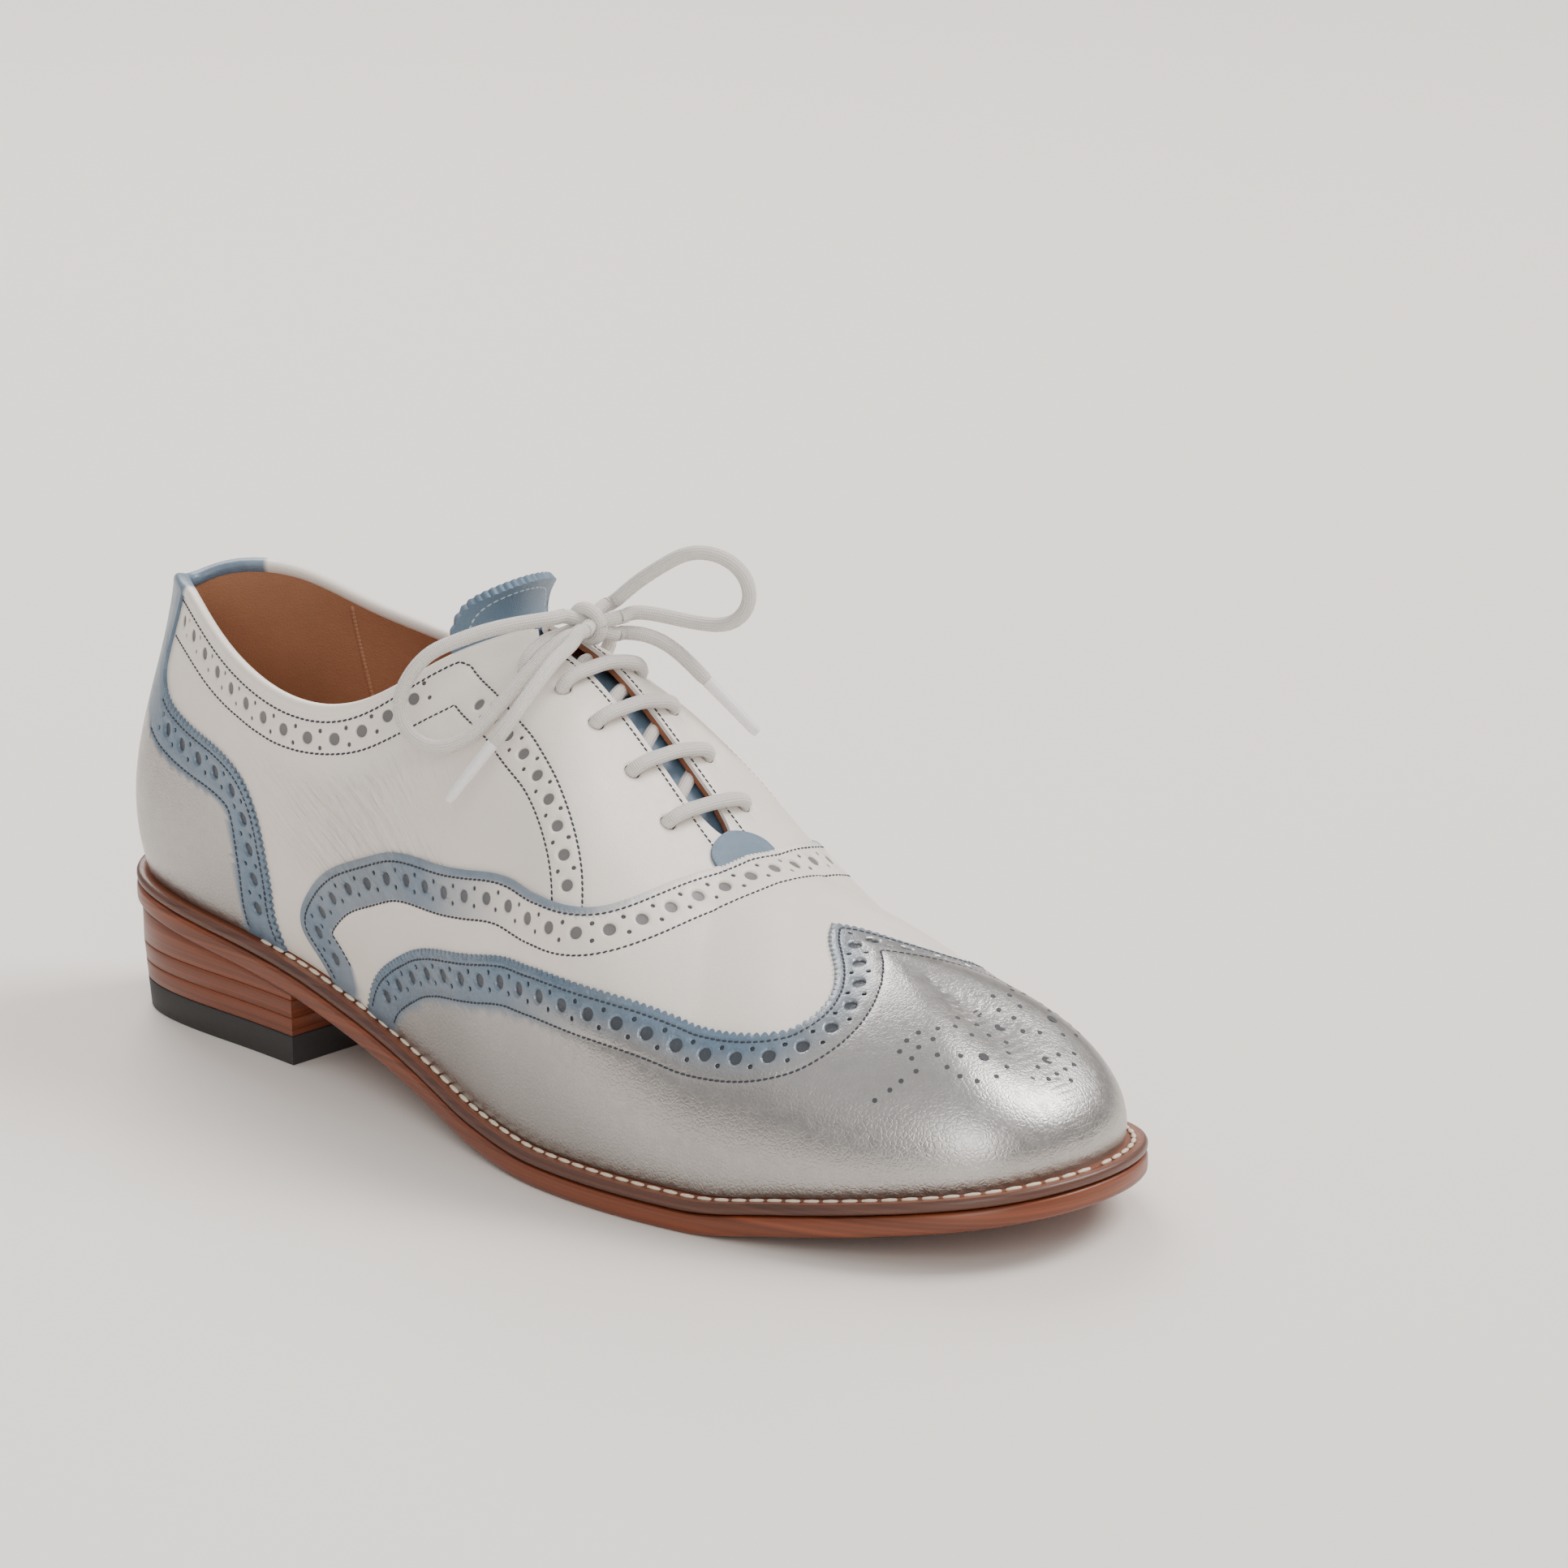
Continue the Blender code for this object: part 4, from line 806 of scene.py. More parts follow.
def panel(name, loops, layer, materials, rows=(), holes=(), free=None, paint=None, step=PANEL_STEP):
    """A closed leather piece inside the loops, between the two heights of its layer.

    loops and rows hold along, across and depth below the face; rows only shape the face. holes are
    (place, diameter). paint gives the dye from each place and its distance to free, the open edge; on the
    lining it gives a painted shade.
    """
    loops = [np.asarray(loop) for loop in loops]
    flat_loops = [flatten(loop) for loop in loops]
    holes = free_holes(holes, loops, flat_loops)
    holes, rims, feet, pit_middles, brims = hole_rings(holes)
    edge_places = np.vstack(loops + rims)
    rows = np.vstack([row for row in [*rows, np.zeros((0, 3))]])
    border = skin(edge_places[:, 0], edge_places[:, 1])
    if len(holes):
        middles = np.array([place for place, _ in holes])
        middles = skin(middles[:, 0], middles[:, 1])
        reach = np.array([diameter / 2 for _, diameter in holes])
        holes_tree = tree_of(middles)

    def clear(places, room, hole_room):
        points = skin(places[:, 0], places[:, 1])
        good = distances(points, border) > room
        if len(holes):
            for i, point in enumerate(points):
                for _, k, away in holes_tree.find_n(point, 2):
                    if away < reach[k] * 1.35 + hole_room:
                        good[i] = False
        return places[good]

    rows = rows[inside(flatten(rows), flat_loops)]
    rows = clear(rows, 0.0002, 0.0003)
    if brims:
        rows = np.vstack([rows, *brims])
    grid = grid_places(step)
    grid = clear(grid[inside(flatten(grid), flat_loops)], 0.45 * step, 0.0007)
    if len(rows):
        grid = grid[distances(skin(grid[:, 0], grid[:, 1]), skin(rows[:, 0], rows[:, 1])) > 0.5 * step]
    places = np.vstack([edge_places, *feet, *pit_middles, rows, with_depth(grid, 0.0)])
    # painted shade: the floor and middle of each pit are mixed towards near-black, darker in the large holes
    pit_shade = np.zeros(len(places))
    start = len(edge_places)
    for foot in feet + pit_middles:
        pit_shade[start:start + len(foot)] = 0.86 if foot[0, 2] > 0.9 * PIT_DEPTH else 0.97
        start += len(foot)
    edges = []
    start = 0
    for loop in loops + rims + feet:
        count = len(loop)
        edges += [(start + i, start + (i + 1) % count) for i in range(count)]
        start += count
    flat = flatten(places)
    _, _, triangles, origins, _, _ = delaunay_2d_cdt([Vector(point) for point in flat], edges, [], 0, 1e-7)
    if any(not origin for origin in origins):
        raise RuntimeError(f"{name}: its lines cross")
    source = [origin[0] for origin in origins]
    triangles = np.array([[source[k] for k in triangle] for triangle in triangles])
    centres = flat[triangles].mean(axis=1)
    through = [flatten(rim) for rim, (_, diameter) in zip(rims, holes) if diameter >= EYELET]
    triangles = triangles[inside(centres, flat_loops + through)]
    return leather_object(name, places, triangles, layer, materials, free, paint, pit_shade)


def leather_object(name, places, triangles, layer, materials, free, paint, pit_shade):
    """Give a triangulated face its back and sides, and its dye (on the lining a painted shade), painted pit
    shade and worn values.
    """
    face, back = layer
    top = lift(places, face - places[:, 2])
    bottom = lift(places, back)
    data = bpy.data.meshes.new(name)
    data.from_pydata(top.tolist(), [], triangles.tolist())
    number = data.attributes.new("number", "INT", "POINT")
    number.data.foreach_set("value", np.arange(len(top), dtype=np.int32))
    mesh = bmesh.new()
    mesh.from_mesh(data)
    number = mesh.verts.layers.int["number"]
    front = mesh.faces[:]
    grown = bmesh.ops.extrude_face_region(mesh, geom=front, use_keep_orig=True)["geom"]
    for part in grown:
        if isinstance(part, bmesh.types.BMVert):
            part.co = bottom[part[number]]
    loose = [vert for vert in mesh.verts if not vert.link_faces]
    bmesh.ops.delete(mesh, geom=loose, context="VERTS")
    bmesh.ops.recalc_face_normals(mesh, faces=mesh.faces[:])
    for edge in mesh.edges:
        edge.smooth = len(edge.link_faces) == 2 and edge.calc_face_angle() < 0.75
    front = set(front)
    for part in mesh.faces:
        part.smooth = True
        part.material_index = 0 if part in front or len(materials) == 1 else 1
    mesh.to_mesh(data)
    mesh.free()
    spot = np.zeros(len(data.vertices), dtype=np.int32)
    data.attributes["number"].data.foreach_get("value", spot)
    data.attributes.remove(data.attributes["number"])
    rim = distances(top, lift(free, face)) if free is not None else np.ones(len(top))
    dye_and_shade = paint(places, rim) if paint else np.zeros(len(top))
    up = 1 - np.abs(places[:, 1])
    worn = np.exp(-((places[:, 0] - 0.375) / 0.085) ** 2) * smooth(0.86, 0.74, up) * smooth(0.36, 0.52, up)
    for title, values in (("dye_and_shade", dye_and_shade), ("pit_shade", pit_shade), ("worn", worn)):
        layer = data.attributes.new(title, "FLOAT", "POINT")
        layer.data.foreach_set("value", np.asarray(values, np.float32)[spot])
    return add_object(name, data, materials)


def add_object(name, data, materials):
    """Link a finished mesh that was made from the heel end, moved to its place in the frame."""
    data.transform(Matrix.Translation(SHIFT))
    for material in materials:
        data.materials.append(material)
    thing = bpy.data.objects.new(name, data)
    bpy.context.scene.collection.objects.link(thing)
    return thing


def place_piece(thing, slot, *nodes):
    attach(thing, "root")
    if nodes:
        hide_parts(*nodes)


def from_bmesh(name, mesh, materials, sharp=0.6):
    """Turn a bmesh into an object, smooth but for its sharp edges."""
    bmesh.ops.recalc_face_normals(mesh, faces=mesh.faces[:])
    for edge in mesh.edges:
        edge.smooth = len(edge.link_faces) == 2 and edge.calc_face_angle() < sharp
    for part in mesh.faces:
        part.smooth = True
    data = bpy.data.meshes.new(name)
    mesh.to_mesh(data)
    mesh.free()
    return add_object(name, data, materials)


# Stitching


def seam_rows(line, depth=0.00016, half=0.0005):
    """The groove that a row of stitches draws into the leather."""
    line = resample(line, SEAM_STEP)
    return [with_depth(line, depth), with_depth(slide(line, half), 0.0), with_depth(slide(line, -half), 0.0)]


def stitch_spots(line, height, pitch, slant=0.12):
    """Middle, direction and normal of each stitch of a seam."""
    even = resample(line, pitch)
    points = lift(even, height)
    middles = (points[1:] + points[:-1]) / 2
    ways = points[1:] - points[:-1]
    ways /= np.linalg.norm(ways, axis=1)[:, None]
    normals = skin_normal(even[:-1, 0], even[:-1, 1])
    sides = np.cross(normals, ways)
    ways = ways + sides * slant
    ways /= np.linalg.norm(ways, axis=1)[:, None]
    return list(zip(middles, ways, normals))


def sew(name, spots, length, width, height, material):
    """Every stitch of one thread: one small rounded solid, repeated along the seams."""
    mesh = bmesh.new()
    bmesh.ops.create_uvsphere(mesh, u_segments=8, v_segments=4, radius=1.0)
    bmesh.ops.rotate(mesh, matrix=Matrix.Rotation(pi / 2, 3, "Y"), verts=mesh.verts)
    shape = bpy.data.meshes.new(name)
    mesh.to_mesh(shape)
    mesh.free()
    corners = np.array([vert.co for vert in shape.vertices])
    corners[:, 0] = np.sign(corners[:, 0]) * np.abs(corners[:, 0]) ** 0.7
    corners = corners * [length / 2, width / 2, height / 2]
    faces = [list(part.vertices) for part in shape.polygons]
    bpy.data.meshes.remove(shape)
    points = []
    for middle, way, normal in spots:
        side = np.cross(normal, way)
        side /= np.linalg.norm(side)
        basis = np.stack([way, side, np.cross(way, side)], 0)
        points.append(corners @ basis + middle)
    count = len(corners)
    everything = [[k + count * i for k in part] for i in range(len(points)) for part in faces]
    data = bpy.data.meshes.new(name)
    data.from_pydata(np.vstack(points).tolist(), [], everything)
    data.shade_smooth()
    return add_object(name, data, [material])


def punch(line, sizes, start=0.5, end=0.5):
    """Large holes along a line, with a pair of small ones across the band between them."""
    run = chords(skin(line[:, 0], line[:, 1]))[-1]
    count = int(round(run / (sizes.hole_pitch / 2)))
    even = resample(line, run / count)
    upper = slide(even, 0.0020)
    lower = slide(even, -0.0020)
    holes = []
    for i in range(int(start * 2), len(even) - int(end * 2)):
        if i % 2:
            holes.append((even[i], sizes.large_hole))
        else:
            holes += [(upper[i], sizes.small_hole), (lower[i], sizes.small_hole)]
    return holes


# Materials


def new_material(name):
    material = bpy.data.materials.new(name)
    material.use_nodes = True
    return material, material.node_tree, material.node_tree.nodes["Principled BSDF"]


def add_node(tree, kind, inputs=(), **settings):
    made = tree.nodes.new(kind)
    for key, value in settings.items():
        setattr(made, key, value)
    for key, value in dict(inputs).items():
        if isinstance(value, bpy.types.NodeSocket):
            tree.links.new(value, made.inputs[key])
        else:
            made.inputs[key].default_value = value
    return made


def new_group(name, inputs, outputs):
    group = bpy.data.node_groups.new(name, "ShaderNodeTree")
    for title, kind, value in inputs:
        socket = group.interface.new_socket(name=title, in_out="INPUT", socket_type=kind)
        if value is not None:
            socket.default_value = value
    for title, kind in outputs:
        group.interface.new_socket(name=title, in_out="OUTPUT", socket_type=kind)
    return group, group.nodes.new("NodeGroupInput"), group.nodes.new("NodeGroupOutput")


def grain_group():
    """Leather grain: small pebbles with fine furrows between them, and a slow change of shade."""
    inputs = [
        ("Place", "NodeSocketVector", None),
        ("Cells", "NodeSocketFloat", 1100.0),
        ("Furrows", "NodeSocketFloat", 0.6),
    ]
    outputs = [("Height", "NodeSocketFloat"), ("Shade", "NodeSocketFloat"), ("Fine", "NodeSocketFloat")]
    group, source, sink = new_group("leather_grain", inputs, outputs)
    place = source.outputs["Place"]
    cells = source.outputs["Cells"]
    warp = add_node(group, "ShaderNodeTexNoise", {"Vector": place, "Scale": 260.0, "Detail": 2.0})
    bent = add_node(group, "ShaderNodeVectorMath", {0: warp.outputs["Color"], 1: (0.0016, 0.0016, 0.0016)},
                    operation="MULTIPLY")
    bent = add_node(group, "ShaderNodeVectorMath", {0: place, 1: bent.outputs[0]}, operation="ADD")
    pebbles = add_node(group, "ShaderNodeTexVoronoi", {"Vector": bent.outputs[0], "Scale": cells},
                       feature="DISTANCE_TO_EDGE")
    furrow = add_node(group, "ShaderNodeMapRange", {"Value": pebbles.outputs["Distance"], 1: 0.0, 2: 0.22})
    creases = add_node(group, "ShaderNodeTexNoise", {"Vector": bent.outputs[0], "Scale": 420.0, "Detail": 5.0,
                                                     "Roughness": 0.62, "Distortion": 0.6})
    blend = add_node(group, "ShaderNodeMix", {"Factor": source.outputs["Furrows"], 2: creases.outputs[0],
                                              3: furrow.outputs[0]}, data_type="FLOAT")
    shade = add_node(group, "ShaderNodeTexNoise", {"Vector": place, "Scale": 24.0, "Detail": 4.0,
                                                   "Roughness": 0.6})
    group.links.new(blend.outputs[0], sink.inputs["Height"])
    group.links.new(shade.outputs[0], sink.inputs["Shade"])
    group.links.new(creases.outputs[0], sink.inputs["Fine"])
    return group


def leather(name, group, colour, dye_and_shade, cells, furrows, roughness, bump, metallic=0.0, coat=0.0,
            wrinkles=0.0, mottle=0.84):
    """A dyed leather: grain, uneven colour, the panel's own dye (on the lining a painted shade), painted
    shade in the pits and worn creases.
    """
    material, tree, shader = new_material(name)
    place = add_node(tree, "ShaderNodeTexCoord").outputs["Object"]
    grain = add_node(tree, "ShaderNodeGroup", node_tree=group)
    tree.links.new(place, grain.inputs["Place"])
    grain.inputs["Cells"].default_value = cells
    grain.inputs["Furrows"].default_value = furrows
    mask = add_node(tree, "ShaderNodeAttribute", attribute_name="dye_and_shade").outputs["Fac"]
    cloudy = add_node(tree, "ShaderNodeMapRange", {"Value": grain.outputs["Shade"], 1: 0.3, 2: 0.7,
                                                   3: 0.80, 4: 1.06})
    mask = add_node(tree, "ShaderNodeMath", {0: mask, 1: cloudy.outputs[0]}, operation="MULTIPLY",
                    use_clamp=True)
    deep = tuple(mottle * part for part in colour)
    base = add_node(tree, "ShaderNodeMix", {"Factor": grain.outputs["Shade"], 6: (*deep, 1), 7: (*colour, 1)},
                    data_type="RGBA")
    dark_dye = tuple(0.62 * part for part in dye_and_shade)
    stain = add_node(tree, "ShaderNodeMix", {"Factor": grain.outputs["Fine"], 6: (*dark_dye, 1),
                                             7: (*[min(1, 1.3 * part) for part in dye_and_shade], 1)}, data_type="RGBA")
    both = add_node(tree, "ShaderNodeMix", {"Factor": mask.outputs[0], 6: base.outputs[2],
                                            7: stain.outputs[2]}, data_type="RGBA")
    # painted shade in the pits: their floors are mixed towards near-black
    pit_shade = add_node(tree, "ShaderNodeAttribute", attribute_name="pit_shade").outputs["Fac"]
    both = add_node(tree, "ShaderNodeMix", {"Factor": pit_shade, 6: both.outputs[2], 7: (0.05, 0.055, 0.065, 1)},
                    data_type="RGBA")
    tree.links.new(both.outputs[2], shader.inputs["Base Color"])
    rough = add_node(tree, "ShaderNodeMapRange", {"Value": grain.outputs["Fine"], 1: 0.3, 2: 0.7,
                                                  3: roughness - 0.06, 4: roughness + 0.08})
    tree.links.new(rough.outputs[0], shader.inputs["Roughness"])
    if metallic:
        metal = add_node(tree, "ShaderNodeMapRange", {"Value": mask.outputs[0], 3: metallic,
                                                      4: 0.25 * metallic})
        tree.links.new(metal.outputs[0], shader.inputs["Metallic"])
    relief_node = add_node(tree, "ShaderNodeBump", {"Height": grain.outputs["Height"], "Strength": 1.0,
                                                    "Distance": bump})
    if wrinkles:
        worn = add_node(tree, "ShaderNodeAttribute", attribute_name="worn").outputs["Fac"]
        turned = add_node(tree, "ShaderNodeMapping", {"Vector": place, "Rotation": (0.0, radians(-38), 0.0)})
        drawn = add_node(tree, "ShaderNodeMapping", {"Vector": turned.outputs[0],
                                                     "Scale": (60.0, 120.0, 620.0)})
        lines = add_node(tree, "ShaderNodeTexNoise", {"Vector": drawn.outputs[0], "Scale": 1.0, "Detail": 5.0,
                                                      "Roughness": 0.6, "Distortion": 0.35})
        height = add_node(tree, "ShaderNodeMath", {0: lines.outputs[0], 1: worn}, operation="MULTIPLY")
        relief_node = add_node(tree, "ShaderNodeBump", {"Height": height.outputs[0], "Distance": wrinkles,
                                                        "Normal": relief_node.outputs[0]})
    tree.links.new(relief_node.outputs[0], shader.inputs["Normal"])
    shader.inputs["Coat Weight"].default_value = coat
    shader.inputs["Coat Roughness"].default_value = 0.25
    return material


def plain_finish(name, colour, roughness, bump=0.00004):
    """A finish with a fine speckle: rubber, thread, clear tip."""
    material, tree, shader = new_material(name)
    place = add_node(tree, "ShaderNodeTexCoord").outputs["Object"]
    speckle = add_node(tree, "ShaderNodeTexNoise", {"Vector": place, "Scale": 900.0, "Detail": 4.0})
    low = tuple(0.8 * part for part in colour)
    shade = add_node(tree, "ShaderNodeMix", {"Factor": speckle.outputs[0], 6: (*low, 1), 7: (*colour, 1)},
                     data_type="RGBA")
    tree.links.new(shade.outputs[2], shader.inputs["Base Color"])
    shader.inputs["Roughness"].default_value = roughness
    bumps = add_node(tree, "ShaderNodeBump", {"Height": speckle.outputs[0], "Distance": bump})
    tree.links.new(bumps.outputs[0], shader.inputs["Normal"])
    return material


def edge_finish(name, colour, roughness):
    """Burnished leather edge: fine level lines of the pressed layers."""
    material, tree, shader = new_material(name)
    place = add_node(tree, "ShaderNodeTexCoord").outputs["Object"]
    flat = add_node(tree, "ShaderNodeMapping", {"Vector": place, "Scale": (5.0, 5.0, 1300.0)})
    lines = add_node(tree, "ShaderNodeTexNoise", {"Vector": flat.outputs[0], "Scale": 1.0, "Detail": 5.0})
    cloud = add_node(tree, "ShaderNodeTexNoise", {"Vector": place, "Scale": 60.0, "Detail": 3.0})
    dark = tuple(0.62 * part for part in colour)
    light = tuple(min(1, 1.25 * part) for part in colour)
    tone = add_node(tree, "ShaderNodeMapRange", {"Value": lines.outputs[0], 1: 0.32, 2: 0.68})
    shade = add_node(tree, "ShaderNodeMix", {"Factor": tone.outputs[0], 6: (*dark, 1), 7: (*light, 1)},
                     data_type="RGBA")
    tree.links.new(shade.outputs[2], shader.inputs["Base Color"])
    rough = add_node(tree, "ShaderNodeMapRange", {"Value": cloud.outputs[0], 3: roughness - 0.1,
                                                  4: roughness + 0.12})
    tree.links.new(rough.outputs[0], shader.inputs["Roughness"])
    bumps = add_node(tree, "ShaderNodeBump", {"Height": lines.outputs[0], "Distance": 0.00006})
    tree.links.new(bumps.outputs[0], shader.inputs["Normal"])
    shader.inputs["Coat Weight"].default_value = 0.12
    shader.inputs["Coat Roughness"].default_value = 0.3
    return material


def lace_finish(name, colour):
    """Round braid: slanted strands that cross round the lace, from its own UV in turns and widths, with
    painted shade where the strands dip.
    """
    material, tree, shader = new_material(name)
    where = add_node(tree, "ShaderNodeUVMap", uv_map="braid").outputs[0]
    parts = add_node(tree, "ShaderNodeSeparateXYZ", {0: where})
    waves = []
    for hand in (1, -1):
        turn = add_node(tree, "ShaderNodeMath", {0: parts.outputs[0], 1: 8.0 * hand}, operation="MULTIPLY")
        run = add_node(tree, "ShaderNodeMath", {0: parts.outputs[1], 1: 4.4, 2: turn.outputs[0]},
                       operation="MULTIPLY_ADD")
        angle = add_node(tree, "ShaderNodeMath", {0: run.outputs[0], 1: 2 * pi}, operation="MULTIPLY")
        waves.append(add_node(tree, "ShaderNodeMath", {0: angle.outputs[0]}, operation="SINE").outputs[0])
    over = add_node(tree, "ShaderNodeMath", {0: waves[0], 1: waves[1]}, operation="MULTIPLY")
    height = add_node(tree, "ShaderNodeMapRange", {"Value": over.outputs[0], 1: -1.0, 2: 1.0})
    # painted shade: the braid's colour darkens where its strands dip
    low = tuple(0.72 * part for part in colour)
    shade = add_node(tree, "ShaderNodeMix", {"Factor": height.outputs[0], 6: (*low, 1), 7: (*colour, 1)},
                     data_type="RGBA")
    tree.links.new(shade.outputs[2], shader.inputs["Base Color"])
    shader.inputs["Roughness"].default_value = 0.6
    shader.inputs["Sheen Weight"].default_value = 0.25
    bumps = add_node(tree, "ShaderNodeBump", {"Height": height.outputs[0], "Distance": 0.00026})
    tree.links.new(bumps.outputs[0], shader.inputs["Normal"])
    return material


def finishes():
    """Every material of the shoe, made once and then found by name."""
    if "white_leather_fine" in bpy.data.materials:
        return bpy.data.materials
    colours = bpy.context.scene.shoe_colours
    grain = grain_group()
    blue = tuple(colours.blue)
    white = tuple(colours.white)
    silver = tuple(colours.silver)
    lining = tuple(colours.lining)
    leather("white_leather_fine", grain, white, blue, 1500.0, 0.35, 0.40, 0.00006, coat=0.12, wrinkles=0.0022)
    leather("silver_leather_fine", grain, silver, blue, 900.0, 0.45, 0.33, 0.00007, metallic=0.97)
    leather("blue_leather_fine", grain, blue, blue, 1300.0, 0.5, 0.48, 0.00008)
    leather("backing_leather", grain, (0.20, 0.22, 0.25), blue, 1300.0, 0.5, 0.7, 0.00005)
    # its dye colour is the painted shade that darkens the lining towards the front
    leather("lining_leather_fine", grain, lining, (0.25, 0.085, 0.040), 1200.0, 0.5, 0.55, 0.00007,
            mottle=0.45)
    edge_finish("sole_edge", tuple(colours.sole), 0.38)
    edge_finish("welt_edge", (0.085, 0.03, 0.018), 0.42)
    leather("welt_top", grain, tuple(colours.welt), (0.06, 0.02, 0.01), 1400.0, 0.4, 0.45, 0.00005, coat=0.2)
    plain_finish("heel_rubber_fine", (0.028, 0.027, 0.027), 0.6)
    # near-black discs that paint the shade of the toe medallion's holes
    plain_finish("hole_shade_disc", (0.055, 0.058, 0.065), 0.75)
    plain_finish("dark_thread", tuple(colours.thread), 0.65)
    plain_finish("welt_thread", (0.78, 0.66, 0.52), 0.6)
    plain_finish("blue_thread", (0.40, 0.50, 0.60), 0.6)
    plain_finish("clear_tip", (0.88, 0.87, 0.86), 0.25, bump=0.00001)
    lace_finish("lace_braid", tuple(colours.lace))
    return bpy.data.materials


# Stage


def make_stage():
    """Plain pale floor, soft studio light and the camera at the photograph's place."""
    scene = bpy.context.scene
    place = np.array(CAMERA_PLACE) + SHIFT
    back = np.array([sin(CAMERA_YAW) * cos(CAMERA_PITCH), -cos(CAMERA_YAW) * cos(CAMERA_PITCH),
                     sin(CAMERA_PITCH)])
    level = np.array([cos(CAMERA_YAW), sin(CAMERA_YAW), 0.0])
    above = np.cross(back, level)
    right = level * cos(CAMERA_ROLL) + above * sin(CAMERA_ROLL)
    up = above * cos(CAMERA_ROLL) - level * sin(CAMERA_ROLL)
    lens = bpy.data.cameras.new("shoe_camera")
    lens.sensor_width = SENSOR
    lens.sensor_fit = "HORIZONTAL"
    lens.lens = SENSOR * FOCAL_PIXELS / PHOTO_WIDTH
    lens.clip_start = 0.1
    lens.clip_end = 50.0
    camera = bpy.data.objects.new("shoe_camera", lens)
    turn = Matrix([right, up, back]).transposed().to_4x4()
    camera.matrix_world = Matrix.Translation(place) @ turn
    scene.collection.objects.link(camera)
    scene.camera = camera
    floor, tree, shader = new_material("pale_floor")
    shader.inputs["Base Color"].default_value = (0.84, 0.795, 0.75, 1)
    shader.inputs["Roughness"].default_value = 0.55
    mesh = bmesh.new()
    bmesh.ops.create_grid(mesh, x_segments=1, y_segments=1, size=6.0)
    data = bpy.data.meshes.new("studio_floor")
    mesh.to_mesh(data)
    mesh.free()
    data.materials.append(floor)
    ground = bpy.data.objects.new("studio_floor", data)
    scene.collection.objects.link(ground)
    world = bpy.data.worlds.new("studio_air")
    scene.world = world
    world.use_nodes = True
    air = world.node_tree.nodes["Background"]
    heading = add_node(world.node_tree, "ShaderNodeTexCoord").outputs["Generated"]
    height = add_node(world.node_tree, "ShaderNodeSeparateXYZ", {0: heading}).outputs[2]
    rise = add_node(world.node_tree, "ShaderNodeMapRange", {"Value": height, 1: 0.0, 2: 0.7})
    sky = add_node(world.node_tree, "ShaderNodeMix", {"Factor": rise.outputs[0], 6: (0.30, 0.28, 0.27, 1),
                                                      7: (1.0, 0.985, 0.97, 1)}, data_type="RGBA")
    world.node_tree.links.new(sky.outputs[2], air.inputs["Color"])
    air.inputs["Strength"].default_value = 0.85
    for name, spot, aim, size, power in (
        ("key_light", (0.9, 1.3, 1.9), (0.05, 0.0, 0.05), 1.2, 60.0),
        ("fill_light", (1.6, -1.6, 1.1), (0.0, 0.0, 0.05), 1.6, 30.0),
        ("rim_light", (-1.2, 0.7, 1.2), (0.0, 0.0, 0.05), 0.9, 20.0),
    ):
        light = bpy.data.lights.new(name, "AREA")
        light.shape = "SQUARE"
        light.size = size
        light.energy = power
        light.color = (1.0, 0.965, 0.925)
        lamp = bpy.data.objects.new(name, light)
        way = Vector(spot) - Vector(aim)
        lamp.matrix_world = Matrix.Translation(spot) @ way.to_track_quat("Z", "Y").to_matrix().to_4x4()
        scene.collection.objects.link(lamp)


# Lace


def tube(name, points, diameter, material, sides=16, taper=None):
    """A round strand along points, from circles joined in turn, with a UV of turns and widths."""
    points = np.asarray(points, float)
    heading = np.gradient(points, axis=0)
    heading /= np.linalg.norm(heading, axis=1)[:, None]
    side = np.cross(heading[0], [0.0, 0.0, 1.0])
    if np.linalg.norm(side) < 0.1:
        side = np.cross(heading[0], [0.0, 1.0, 0.0])
    mesh = bmesh.new()
    number = mesh.verts.layers.int.new("number")
    run = chords(points)
    turns = np.arange(sides) * 2 * pi / sides
    rings = []
    for i, (point, way) in enumerate(zip(points, heading)):
        side = side - way * np.dot(side, way)
        side /= np.linalg.norm(side)
        other = np.cross(way, side)
        radius = diameter / 2 * (taper[i] if taper is not None else 1.0)
        ring = []
        for turn in turns:
            vert = mesh.verts.new(point + (side * cos(turn) + other * sin(turn)) * radius)
            vert[number] = i * sides + len(ring)
            ring.append(vert)
        rings.append(ring)
    for lower, upper in zip(rings, rings[1:]):
        for k in range(sides):
            j = (k + 1) % sides
            mesh.faces.new([lower[k], lower[j], upper[j], upper[k]])
    mesh.faces.new(rings[0][::-1])
    mesh.faces.new(rings[-1])
    braid = mesh.loops.layers.uv.new("braid")
    for part in mesh.faces:
        turned = [loop.vert[number] % sides / sides for loop in part.loops]
        for loop, share in zip(part.loops, turned):
            wrap = 1.0 if max(turned) - min(turned) > 0.5 and share < 0.5 else 0.0
            loop[braid].uv = (share + wrap, run[loop.vert[number] // sides] / LACE)
    return from_bmesh(name, mesh, [material], sharp=0.9)


def smooth_route(points, step):
    """Evenly spaced points along a smooth curve through the given ones."""
    points = np.asarray(points, float)
    curve = spline(chords(points), points)
    fine = curve(np.linspace(0, chords(points)[-1], 600))
    run = chords(fine)
    count = max(3, int(round(run[-1] / step)) + 1)
    even = np.linspace(0, run[-1], count)
    return np.stack([np.interp(even, run, fine[:, k]) for k in range(3)], 1)


def place_free(row):
    """A point of the free lace in metres."""
    return np.array([row[0] * LENGTH, row[1] * LENGTH + RIDGE_SIDE * BALL_WIDTH, row[2] * LENGTH])


def at_knot(seat, side):
    """The two points that start a strand squarely on the knot's flat end. side is -1 or 1."""
    beside = RIDGE_SIDE * BALL_WIDTH + side * (KNOT_WIDTH / 2 + TOUCH)
    face = np.array([seat[0] * LENGTH, beside, seat[1] * LENGTH])
    return [face, face + np.array([0.0, side * 0.5 * LACE, 0.0])]


